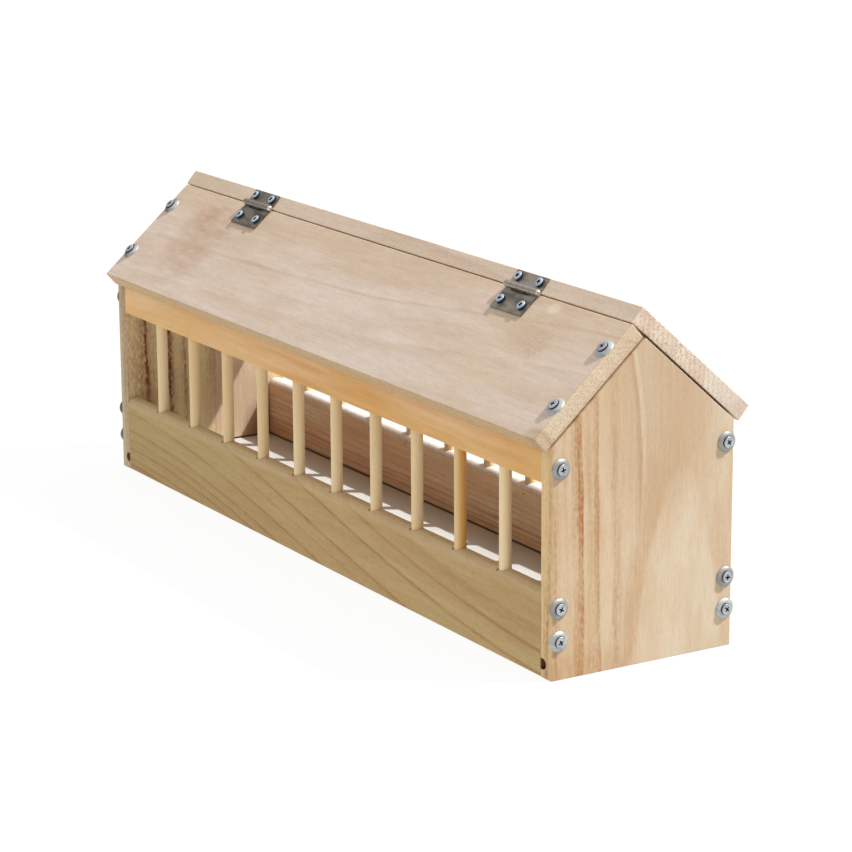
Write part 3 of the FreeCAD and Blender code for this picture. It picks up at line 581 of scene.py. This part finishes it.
boardLook = dict(plainWood, turn=faceForward, seed=5.0, wander=3.0, waver=1.4, streak=0.26, scuff=0.3,
                 patchy=0.65, poreShare=0.3, broken=0.9,
                 sweep=dict(plainSweep, drop=88.0),
                 rings=[(0, 0.24), (4, 0.66), (6, 0.16), (9, 0.66), (10.6, 0.1), (15.4, 0.2), (17, 0.66),
                        (18.4, 0.1), (22.2, 0.2), (23.5, 0.66), (25, 0.08), (29.6, 0.2), (31, 0.64),
                        (32.4, 0.08), (43, 0.14), (45, 0.55), (46.4, 0.06), (56, 0.1), (57.6, 0.34),
                        (59, 0.06), (66.2, 0.18), (68.6, 0.68), (70, 0.08), (86.4, 0.16), (89, 0.54),
                        (90.4, 0.02), (101.6, 0.14), (104.4, 0.54), (105.8, 0.06), (118, 0.26),
                        (120, 0.06), (133, 0.18)],
                 pale=colour(197, 170, 116), warm=colour(191, 158, 105), late=colour(150, 90, 30),
                 pore=colour(132, 96, 58), end=colour(112, 66, 46), endShare=0.85)

rearBands = {"red": colour(216, 144, 104), "bandNoise": ((90, 6, 6), 3.0, 4.0), "bandSpan": (0.36, 0.62),
             "topSpan": (50.0, 53.0), "insideSpan": (4.0, 9.0), "alongSpan": (120.0, 360.0, 0.46, 0.12)}


def rearMarks(wire, base, parts, wood):
    # redder on the inside in broken bands, most of all towards the left end
    look = rearBands
    along, across, deep = parts
    bands = cloud(wire, flatPlace(wire, along, across), *look["bandNoise"])
    inside = 1.0 - step(wire, across, *look["topSpan"])
    inside = inside * step(wire, deep, *look["insideSpan"])
    share = step(wire, along, *look["alongSpan"]) * inside
    return paint(wire, base, look, red=step(wire, bands, *look["bandSpan"]) * share)


# the near-white top edge is painted sunlight on the rounded top
rearBoardLook = dict(boardLook, seed=43.0, waver=2.4, streak=0.5, streakSize=(60, 1.3, 1.3), patchy=0.6,
                     sweep=dict(plainSweep, drop=4.0),
                     rings=[(0, 0.6), (10, 0.5), (12, 0.3), (13.2, 0.7), (14.4, 0.3), (17, 0.25), (18, 0.6),
                            (19.4, 0.25), (21.4, 0.5), (23, 0.2), (25.2, 0.62), (26.6, 0.2), (29, 0.2),
                            (30.2, 0.45), (31.4, 0.12), (34, 0.2), (35.2, 0.4), (36.4, 0.12), (39, 0.3),
                            (40.2, 0.1), (44, 0.24), (45, 0.06), (62, 0.1)],
                     inner=12.0, outside=colour(190, 160, 116),
                     pale=colour(240, 211, 172), warm=colour(234, 197, 152), late=colour(146, 82, 54),
                     edge=colour(255, 248, 242), edgeShare=1.0, edgeReach=4.6, edgeSpan=(7.0, 9.0),
                     edgeClear=1.0)

railLook = dict(plainWood, turn=faceForward, seed=9.0, wander=4.0, waver=1.2, streak=0.22, fine=0.16,
                sweep=dict(plainSweep, drop=10.0),
                rings=[(0, 0.3), (8, 0.5), (10, 0.3), (20, 0.55), (22, 0.3), (33, 0.5), (36, 0.3), (50, 0.4)],
                fade=[(0, 0.1), (150, 0.4), (300, 1.0), (450, 0.75), (600, 0.5)],
                pale=colour(240, 200, 148), warm=colour(232, 183, 113), late=colour(205, 134, 38),
                pore=colour(160, 110, 62))


# roof panel and lid

roofStains = {"mottleNoise": ((16, 5, 5), 4.0, 8.0), "mottleSpan": (0.28, 0.72, 0.35, 1.0),
              "dapple": colour(196, 172, 146), "dappleShare": 0.24, "dappleNoise": ((15, 4, 4), 3.0, 12.0),
              "dappleSpan": (0.44, 0.66),
              "tan": colour(194, 163, 124), "tanShare": 0.4, "tanSpan": (48.0, 96.0),
              "spots": [(colour(172, 135, 106), (78, 50), (42, 46), 0.5),
                        (colour(178, 132, 100), (64, 74), (26, 13), 0.34),
                        (colour(204, 175, 132), (500, 40), (56, 44), 0.2),
                        (colour(160, 122, 84), (594, 3), (16, 9), 0.55),
                        (colour(164, 126, 92), (514, 62), (30, 18), 0.24)],
              "bright": colour(232, 214, 186), "brightSpot": ((515, 88), (8, 5), 0.5),
              "cut": colour(146, 104, 70), "cutNoise": ((1.3, 6, 6), 1.0, 3.0), "cutSpan": (0.54, 0.66),
              "cutSpot": ((526, 60), (15, 20), 0.5)}


def roofMarks(wire, base, parts, wood):
    # tan towards the ridge, water stains near the left end, a yellow patch with cross cuts near the right
    look = roofStains
    along, across = parts[:2]
    flat = flatPlace(wire, along, across)
    mottle = step(wire, cloud(wire, flat, *look["mottleNoise"]), *look["mottleSpan"])
    dapple = step(wire, cloud(wire, flat, *look["dappleNoise"]), *look["dappleSpan"])
    tan = step(wire, across, *look["tanSpan"]) * mottle
    base = paint(wire, base, look, dapple=dapple, tan=tan)
    for tone, *spot in look["spots"]:
        base = blendColour(wire, base, tone, smudge(wire, parts, *spot) * mottle)
    cut = step(wire, cloud(wire, flat, *look["cutNoise"]), *look["cutSpan"])
    cut = cut * smudge(wire, parts, *look["cutSpot"]) * mottle
    return paint(wire, base, look, bright=smudge(wire, parts, *look["brightSpot"]), cut=cut)


# the pale ridge colour on the roof's top edge is painted light, to lighten the dark gap under the lid
roofLook = dict(plainWood, turn=(-roofSlope, 0, 0), seed=14.0, wander=6.0, waver=3.0, streak=0.18, fuzz=0.12,
                scuff=0.1, streakSize=(34, 2.6, 2.6), blotchSize=(90, 20, 20), poreShare=0.1,
                sweep={"start": 280.0, "end": 620.0, "drop": -20.0, "lean": -0.034},
                rings=[(0, 0.1), (10, 0.24), (12, 0.06), (25, 0.14), (28, 0.06), (41, 0.12), (43, 0.4),
                       (45, 0.06), (60, 0.2), (63, 0.06), (72, 0.14), (80, 0.24), (84, 0.08), (95, 0.14)],
                pale=colour(213, 197, 183), warm=colour(205, 186, 167), late=colour(176, 138, 106),
                pore=colour(150, 116, 90), edge=colour(202, 171, 121), edgeShare=0.9, edgeSpeck=0.5,
                ridge=colour(232, 205, 170), end=colour(214, 199, 172), endShare=0.85, endRing=0.12,
                speck=0.55, speckReach=2.6, speckSize=(1.2, 1.2, 1.2), specks=colour(160, 118, 80))

lidTints = {"weathered": colour(228, 220, 212), "weatheredShare": 0.3, "weatheredSpan": (55.0, 90.0),
            "dirt": colour(186, 164, 142), "dirtShare": 0.5, "dirtAndShadeSpan": (88.0, 106.0),
            "strip": colour(202, 180, 150), "stripShare": 0.45, "stripSkin": (0.1, 0.5),
            "stripSpan": (0.0, 190.0),
            "fresh": colour(232, 205, 170), "gapLightSkin": (0.02, 0.12), "gapLightSpan": (3.0, 8.0)}


def lidMarks(wire, base, parts, wood):
    # sawn ends paler and then dirty lower down, upper edge duller at the left, and a pale underside at the
    # ridge, which is painted light in the gap under the lid
    look = lidTints
    along, across, deep = parts
    ends = rim(wire, along, wood["size"][0], wood["endReach"])
    weathered = step(wire, across, *look["weatheredSpan"]) * ends
    dirt = step(wire, across, *look["dirtAndShadeSpan"]) * ends
    strip = 1.0 - step(wire, across, *look["stripSkin"])
    strip = strip * (1.0 - step(wire, along, *look["stripSpan"]))
    # painted light: the underside next to the ridge is pale to lighten the gap between roof and lid
    fresh = 1.0 - step(wire, deep, *look["gapLightSkin"])
    fresh = fresh * (1.0 - step(wire, across, *look["gapLightSpan"]))
    return paint(wire, base, look, weathered=weathered, dirt=dirt, strip=strip, fresh=fresh)


lidLook = dict(roofLook, turn=(roofSlope, 0, 0), seed=21.0, ridge=colour(204, 178, 132),
               sweep=dict(plainSweep, drop=24.0),
               rings=[(0, 0.1), (14, 0.3), (16, 0.1), (34, 0.4), (37, 0.1), (58, 0.35), (62, 0.1), (86, 0.4),
                      (90, 0.1), (112, 0.3), (135, 0.1)],
               pale=colour(193, 176, 157), warm=colour(185, 165, 142), edge=colour(219, 200, 179),
               edgeShare=1.0, edgeSpeck=0.16, end=colour(224, 211, 193), endShare=1.0, endRing=0.24,
               speck=0.6, speckReach=0.6, speckSize=(1.7, 1.0, 1.0), specks=colour(160, 124, 94))


def dressWood():
    boards = [("gableWood", "right_gable", gableLook, gableMarks),
              ("leftGableWood", "left_gable", leftGableLook, gableMarks),
              ("frontBoardWood", "front_board", boardLook, dowelMarks),
              ("rearBoardWood", "rear_board", rearBoardLook, rearMarks),
              ("frontRailWood", "front_rail", railLook, None),
              ("rearRailWood", "rear_rail", dict(railLook, seed=51.0), None),
              ("roofWood", "front_roof_panel", roofLook, roofMarks),
              ("lidWood", "lid_panel", lidLook, lidMarks)]
    for title, name, wood, marks in boards:
        dress([name], woodFinish(title, name, wood, marks))
    print("boards dressed")


# dowels: one clear straight-grained wood, a little different from rod to rod

dowelLook = dict(plainWood, turn=upright, seed=60.0, wander=1.0, waver=0.4, streak=0.2,
                 streakSize=(60, 1.0, 1.0), fine=0.1, face=0.0, slant=0.3,
                 sweep=dict(plainSweep, end=100.0, drop=1.0),
                 rings=[(0, 0.1), (2, 0.3), (3, 0.1), (5, 0.3), (6, 0.1), (9, 0.2)],
                 pale=colour(243, 221, 177), warm=colour(235, 207, 158), late=colour(217, 180, 124),
                 pore=colour(180, 140, 92))
# the rows of tones give each rod's share by its place in the row
dowelTints = {"orange": colour(222, 168, 92), "orangeRod": 8, "orangeShadedSide": (-3.0, 1.2, 0.3, 1.15),
              "rightward": (0.52, 0.86), "frontSpan": (20.0, 60.0),
              "orangeRow": [(0, 0.0), (53, 0.3), (106, 0.4), (159, 0.0), (212, 0.1), (265, 0.3), (318, 0.0),
                            (371, 0.1), (420, 0.88), (432, 0.88), (477, 0.0)],
              "bleached": colour(255, 232, 188), "bleachedRow": [(0, 0.0), (450, 0.0), (477, 0.6)]}


def dowelTint(wire, base, parts, wood):
    # parts run from the first rod, so the depth, which runs against the row, tells them apart
    look = dowelTints
    across, deep = parts[1:]
    diameter = wood["size"][2]
    row = diameter - deep
    fromAxis = (row - look["orangeRod"] * dowelPitch - diameter / 2, across - diameter / 2)
    rightSide = fromAxis[0] * look["rightward"][0] + fromAxis[1] * look["rightward"][1]
    # the orange lies only on each rod's right side, away from the light: partly the rod's own colour, partly
    # painted shade
    orange = ramp(wire, row, look["orangeRow"]) * step(wire, rightSide, *look["orangeShadedSide"])
    orange = orange * (1.0 - step(wire, across, *look["frontSpan"]))
    bleached = ramp(wire, row, look["bleachedRow"])
    return paint(wire, base, look, orange=orange, bleached=bleached)


def dressDowels():
    material = woodFinish("dowelWood", "front_dowel_01", dowelLook, dowelTint)
    dress(nodesNamed("dowel"), material)
    print("dowels dressed")


# white-faced floor sheet on a brown board

sheetLook = {"turn": (0, 0, 0), "faceSkin": (0.3, 0.1), "dustNoise": ((60, 30, 30), 3.0, 2.0),
             "dustSpan": (0.4, 0.7), "speckNoise": ((2, 2, 2), 2.0, 5.0), "speckSpan": (-0.2, 0.2),
             "brown": colour(134, 92, 58), "darkBrown": colour(112, 74, 46),
             "white": colour(236, 245, 255), "dust": colour(222, 227, 232),
             "shaded": colour(194, 182, 164), "shadedShare": 0.72, "shadedSpan": (40.0, 112.0),
             "corners": colour(128, 110, 92), "rearCorner": (111.0, 112.6), "leftCorner": (2.6, 3.8),
             "rough": 0.45, "dustRough": 0.15, "bump": 0.1, "bumpDepth": 0.2}


def dressFloorPanel():
    material, wire, shader = newMaterial("whiteFacedSheet")
    look = sheetLook
    coords, size = grainPlace(wire, "floor_panel", look)
    along, across, deep = split(wire, coords)
    start, whole = (size[2] - skin for skin in look["faceSkin"])
    top = step(wire, deep, start, whole)
    dust = step(wire, cloud(wire, coords, *look["dustNoise"]), *look["dustSpan"])
    speck = cloud(wire, coords, *look["speckNoise"]) - noiseMiddle
    shaded = step(wire, across, *look["shadedSpan"])
    # painted shade: dark lines where the sheet meets the rear board and the left gable
    leftCorner = 1.0 - step(wire, along, *look["leftCorner"])
    corners = wire.maths("MAXIMUM", step(wire, across, *look["rearCorner"]), leftCorner)
    below = paint(wire, look["brown"], look, darkBrown=step(wire, speck, *look["speckSpan"]))
    white = paint(wire, look["white"], look, dust=dust, shaded=shaded, corners=corners)
    feed(wire, shader, Base_Color=blendColour(wire, below, white, top), Normal=relief(wire, speck, look),
         Roughness=look["rough"] + dust * look["dustRough"])
    dress(["floor_panel"], material)
    print("floor panel dressed")


# fasteners: cup washers, cross-headed wood screws and round-headed hinge screws, sizes in millimetres

washerShape = {"steps": 40, "cup": 3.7,
               "outline": [(2.1, 0.0), (6.7, 0.0), (6.7, 0.28), (6.56, 0.5), (6.05, 0.98), (5.25, 1.5),
                           (4.45, 1.8), (3.95, 1.89), (3.6, 1.88), (3.25, 1.8), (2.1, 0.8)]}
# each ring of a screw is its radius, its height and how much painted shade it gets
screwShape = {"segments": 36, "top": 3.2, "crossSpan": 3.7, "crossWidth": 1.0, "crossDepth": 1.3,
              "taper": 0.62,
              "rings": [(3.05, 3.2, 0.0), (3.4, 3.13, 0.0), (3.62, 2.98, 0.2), (3.7, 2.8, 0.9),
                        (3.7, 2.5, 1.0), (3.1, 1.9, 1.0), (2.0, 0.8, 1.0), (2.0, -27.8, 0.0),
                        (0.1, -31.8, 0.0)]}
hingeScrewShape = {"segments": 32, "top": 1.95, "crossSpan": 3.1, "crossWidth": 1.3, "crossDepth": 1.0,
                   "taper": 0.7,
                   "rings": [(2.55, 1.95, 0.0), (3.0, 1.84, 0.0), (3.24, 1.6, 0.2), (3.3, 1.3, 0.9),
                             (3.3, 0.0, 1.0), (1.3, 0.0, 1.0), (1.3, -7.5, 0.0), (0.1, -9.5, 0.0)]}
crossRim = (0.97, 0.06)  # taper and depth of the worn rim round a cross recess
smoothBelow = 38         # degrees between faces that are shaded as one
# gableTurn and roofTurn are the first screw's turn in degrees and what each next one adds
fastenerPlaces = {"gableFace": 300.0, "gableTurn": (28, 37), "roofX": (-290.7, 290.7),
                  "roofRuns": (21.9, 68.9), "roofEdge": (-9.749, 215.508), "roofTurn": (15, 31),
                  "gableSpots": [(-64.411, 25.0), (-64.411, 46.0), (-63.511, 133.5),
                                 (60.789, 25.0), (60.789, 46.0), (59.889, 133.5)],
                  "hingeX": 178.0, "hingeShift": -0.9, "hingeSpread": 12.3, "hingeTurn": 20, "leaf": 1.2,
                  "roofLeafRun": 12.0, "lidEdge": (-9.22, 216.108), "lidLeafRise": 6.5}


def closeLoop(made, corners):
    return [made.edges.new((first, second)) for first, second in zip(corners, corners[1:] + corners[:1])]


def buildWasher(made, shape):
    before = set(made.verts)
    corners = [made.verts.new((radius, 0, height)) for radius, height in shape["outline"]]
    sides = closeLoop(made, corners)
    bmesh.ops.spin(made, geom=corners + sides, cent=(0, 0, 0), axis=(0, 0, 1), dvec=(0, 0, 0),
                   angle=2 * math.pi, steps=shape["steps"], use_merge=True)
    # the inside of the cup gets painted shade
    sunk = made.verts.layers.float["sunk"]
    for vert in made.verts:
        if vert not in before and vert.co.xy.length < shape["cup"]:
            vert[sunk] = 1.0


def drawLoop(made, points, height):
    return closeLoop(made, [made.verts.new((x, y, height)) for x, y in points])


def extrudeLoop(made, loop):
    grown = bmesh.ops.extrude_edge_only(made, edges=loop)["geom"]
    fresh = [item for item in grown if isinstance(item, bmesh.types.BMVert)]
    edges = [item for item in grown if isinstance(item, bmesh.types.BMEdge) and set(item.verts) <= set(fresh)]
    return fresh, edges


def buildScrew(made, shape):
    far = shape["crossSpan"] / 2
    near = shape["crossWidth"] / 2
    cross = []
    for quarter in range(4):
        turned = Matrix.Rotation(quarter * math.pi / 2, 2)
        cross += [tuple(turned @ Vector(corner)) for corner in ((far, -near), (far, near), (near, near))]
    turns = [2 * math.pi * index / shape["segments"] for index in range(shape["segments"])]
    radius, height, dark = shape["rings"][0]
    sunk = made.verts.layers.float["sunk"]
    inner = drawLoop(made, cross, shape["top"])
    outer = drawLoop(made, [(radius * math.cos(turn), radius * math.sin(turn)) for turn in turns], height)
    bmesh.ops.triangle_fill(made, edges=inner + outer, use_beauty=True, normal=(0, 0, 1))
    for radius, height, dark in shape["rings"][1:]:
        fresh, outer = extrudeLoop(made, outer)
        for vert in fresh:
            flat = vert.co.xy.normalized() * radius
            vert.co = (flat.x, flat.y, height)
            vert[sunk] = dark
    for taper, drop in (crossRim, (shape["taper"], shape["crossDepth"])):
        fresh, inner = extrudeLoop(made, inner)
        for vert in fresh:
            flat = vert.co.xy * taper
            vert.co = (flat.x, flat.y, shape["top"] - drop)
            vert[sunk] = 1.0
    bmesh.ops.holes_fill(made, edges=inner + outer)


def standOn(spot, normal, turn):
    facing = Vector(normal).to_track_quat("Z", "Y").to_matrix().to_4x4()
    turned = Matrix.Rotation(math.radians(turn), 4, "Z")
    return Matrix.Translation(Vector(spot) * mm) @ facing @ turned @ Matrix.Scale(mm, 4)


def standInRow(spots, normal, turn):
    first, added = turn
    return [standOn(spot, normal, first + added * index) for index, spot in enumerate(spots)]


def addFasteners(title, build, shape, places, material, node, bodyName):
    made = bmesh.new()
    made.verts.layers.float.new("sunk")
    for place in places:
        before = set(made.verts)
        build(made, shape)
        fresh = [vert for vert in made.verts if vert not in before]
        bmesh.ops.transform(made, matrix=place, verts=fresh)
    bmesh.ops.recalc_face_normals(made, faces=made.faces)
    for face in made.faces:
        face.smooth = True
    for edge in made.edges:
        edge.smooth = edge.calc_face_angle(0.0) < math.radians(smoothBelow)
    mesh = bpy.data.meshes.new(title)
    made.to_mesh(mesh)
    made.free()
    mesh.materials.append(material)
    piece = bpy.data.objects.new(title, mesh)
    scene.collection.objects.link(piece)
    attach(piece, bodyName)
    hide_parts(node)


def addCupScrews(title, node, places, finishes):
    addFasteners(title + "Washers", buildWasher, washerShape, places, finishes["washer"],
                 node + "_cup_washers", "housing")
    addFasteners(title + "Screws", buildScrew, screwShape, places, finishes["screw"],
                 node + "_screws", "housing")


def fastenersOnGables(finishes):
    at = fastenerPlaces
    for side, name in ((-1, "left"), (1, "right")):
        spots = [(side * at["gableFace"], y, z) for y, z in at["gableSpots"]]
        places = standInRow(spots, (side, 0, 0), at["gableTurn"])
        addCupScrews(name + "Gable", name + "_gable", places, finishes)


def fastenersOnRoof(finishes):
    at = fastenerPlaces
    lean = math.radians(roofSlope)
    upFromRoof = Vector((0, -math.sin(lean), math.cos(lean)))
    downRoof = Vector((0, -math.cos(lean), -math.sin(lean)))
    edge = Vector((0, *at["roofEdge"]))
    spots = [Vector((x, 0, 0)) + edge + downRoof * run for x in at["roofX"] for run in at["roofRuns"]]
    addCupScrews("roof", "roof", standInRow(spots, upFromRoof, at["roofTurn"]), finishes)
    upFromLid = Vector((0, math.sin(lean), math.cos(lean)))
    outOfLid = Vector((0, -math.cos(lean), math.sin(lean)))
    onRoofLeaf = edge + downRoof * at["roofLeafRun"] + upFromRoof * at["leaf"]
    onLidLeaf = Vector((0, *at["lidEdge"])) + upFromLid * at["lidLeafRise"] + outOfLid * at["leaf"]
    for side, name in ((-1, "left"), (1, "right")):
        middle = side * at["hingeX"] + at["hingeShift"]
        columns = [middle - at["hingeSpread"], middle + at["hingeSpread"]]
        for kind, spot, normal, bodyName in (("roof", onRoofLeaf, upFromRoof, "housing"),
                                             ("lid", onLidLeaf, outOfLid, "lid")):
            # a screw's place along the ridge also turns its cross
            places = [standOn(spot + Vector((x, 0, 0)), normal, at["hingeTurn"] + x) for x in columns]
            title = name + "Hinge" + kind.capitalize() + "Screws"
            node = name + "_hinge_" + kind + "_screws"
            addFasteners(title, buildScrew, hingeScrewShape, places, finishes["hingeScrew"], node,
                         bodyName)


# metal: zinc plate, rolled steel

# a shape is in lumps along and across, and a noise is its detail and its shift
plainMetal = {"patchShape": (3, 1, 1), "patchNoise": (2.0, 1.0), "patchSpan": (0.35, 0.65), "patchRough": 0.1,
              "fineShape": (0.6, 0.12, 0.12), "fineNoise": (2.0, 4.0), "fineRough": 0.08,
              "sunkRough": 0.3, "metallic": 1.0, "bump": 0.06, "bumpDepth": 0.1}
zincLook = dict(plainMetal, bright=colour(191, 194, 193), dull=colour(170, 173, 172), rough=0.46, size=4.0,
                metallic=0.55, sunk=colour(56, 50, 46), tarnish=colour(122, 113, 102),
                darkLeftEnd=(-291.0, -286.0), roofRise=(145.0, 150.0), dullRise=(33.0, 38.0), dullShare=0.45)
screwLook = dict(plainMetal, bright=colour(190, 194, 198), dull=colour(166, 170, 176), rough=0.36, size=3.0,
                 metallic=0.7, sunk=colour(50, 48, 48))
hingeScrewLook = dict(plainMetal, bright=colour(192, 208, 222), dull=colour(168, 186, 204), rough=0.36,
                      size=3.0, metallic=0.6, sunk=colour(22, 30, 44))
# barrelReach and the two spans of the painted shadow below the barrel are squares of distances from the hinge
# axis
# the barrel colour is a painted sheen round the hinge axis
hingeLook = dict(plainMetal, bright=colour(172, 163, 151), dull=colour(132, 121, 109), rough=0.42, size=5.0,
                 barrel=colour(174, 166, 155), barrelReach=(5.6, 7.4), leftShade=(-50.0, 50.0, 0.76, 1.0))
# the roof leaf adds a painted shadow below the barrel
roofLeafLook = dict(hingeLook, bright=colour(156, 147, 136), dull=colour(114, 106, 96),
                    grime=colour(34, 26, 20), grimeShare=0.85, grimeStart=(7.0, 8.2), grimeEnd=(12.0, 20.0),
                    grimeWidth=(8.0, 13.0))
pinLook = dict(plainMetal, bright=colour(226, 224, 218), dull=colour(196, 192, 184), rough=0.24, size=4.0)
bradLook = dict(plainMetal, bright=colour(44, 37, 32), dull=colour(28, 23, 19), rough=0.5, size=1.0)
hingeAxis = frame["record"]["behaviour"]["joints"][0]["pos_m"]


def barrelMarks(wire, base, place, metal):
    # a painted sheen round the hinge axis, darker on the left hinge, and a painted shadow in the corner below
    # the barrel
    along, across, up = [part / mm for part in split(wire, place)]
    across = across - hingeAxis[1] / mm
    up = up - hingeAxis[2] / mm
    fromAxis = across * across + up * up
    base = paint(wire, base, metal, barrel=1.0 - step(wire, fromAxis, *metal["barrelReach"]))
    base = scaleColour(wire, base, step(wire, along, *metal["leftShade"]))
    if "grime" in metal:
        # painted shadow on the roof leaf in the corner below the barrel, beside each hinge
        beside = abs(abs(along - fastenerPlaces["hingeShift"]) - fastenerPlaces["hingeX"])
        grime = between(wire, fromAxis, metal["grimeStart"], metal["grimeEnd"])
        base = paint(wire, base, metal, grime=grime * (1.0 - step(wire, beside, *metal["grimeWidth"])))
    return base


def darkTintMarks(wire, base, place, metal):
    # darker at the left end of the roof, and duller on the gables above the lowest screws
    along, across, up = [part / mm for part in split(wire, place)]
    leftEndDark = (1.0 - step(wire, along, *metal["darkLeftEnd"])) * step(wire, up, *metal["roofRise"])
    duller = between(wire, up, metal["dullRise"], metal["roofRise"]) * metal["dullShare"]
    return paint(wire, base, metal, tarnish=wire.maths("MAXIMUM", leftEndDark, duller))


def metalFinish(title, metal):
    material, wire, shader = newMaterial(title)
    place = wire.node("ShaderNodeTexCoord", out="Object")

    def noise(kind):
        size = [metal["size"] * mm * share for share in metal[kind + "Shape"]]
        return cloud(wire, place, size, *metal[kind + "Noise"])

    patch = step(wire, noise("patch"), *metal["patchSpan"])
    fine = noise("fine") - noiseMiddle
    base = blendColour(wire, metal["bright"], metal["dull"], patch)
    rough = metal["rough"] + patch * metal["patchRough"] + fine * metal["fineRough"]
    if "barrel" in metal:
        base = barrelMarks(wire, base, place, metal)
    if "tarnish" in metal:
        base = darkTintMarks(wire, base, place, metal)
    if "sunk" in metal:
        # painted shade in the recess, round the head and in the cup
        sunk = wire.node("ShaderNodeAttribute", {"attribute_name": "sunk"}, out="Fac")
        base = paint(wire, base, metal, sunk=sunk)
        rough = rough + sunk * metal["sunkRough"]
    feed(wire, shader, Base_Color=base, Metallic=metal["metallic"], Roughness=rough,
         Normal=relief(wire, fine, metal))
    return material


def dressMetal():
    finishes = [("lid_leaf", "hingeSteel", hingeLook), ("roof_leaf", "roofLeafSteel", roofLeafLook),
                ("hinge_pin", "pinSteel", pinLook), ("brads", "bradSteel", bradLook)]
    for word, title, metal in finishes:
        dress(nodesNamed(word), metalFinish(title, metal))
    print("metal dressed")


def addAllFasteners():
    finishes = {"washer": metalFinish("zincPlate", zincLook), "screw": metalFinish("screwZinc", screwLook),
                "hingeScrew": metalFinish("hingeScrewZinc", hingeScrewLook)}
    fastenersOnGables(finishes)
    fastenersOnRoof(finishes)
    print("fasteners added")


addCamera()
addStage()
addLight()
dressWood()
dressDowels()
dressFloorPanel()
dressMetal()
addAllFasteners()
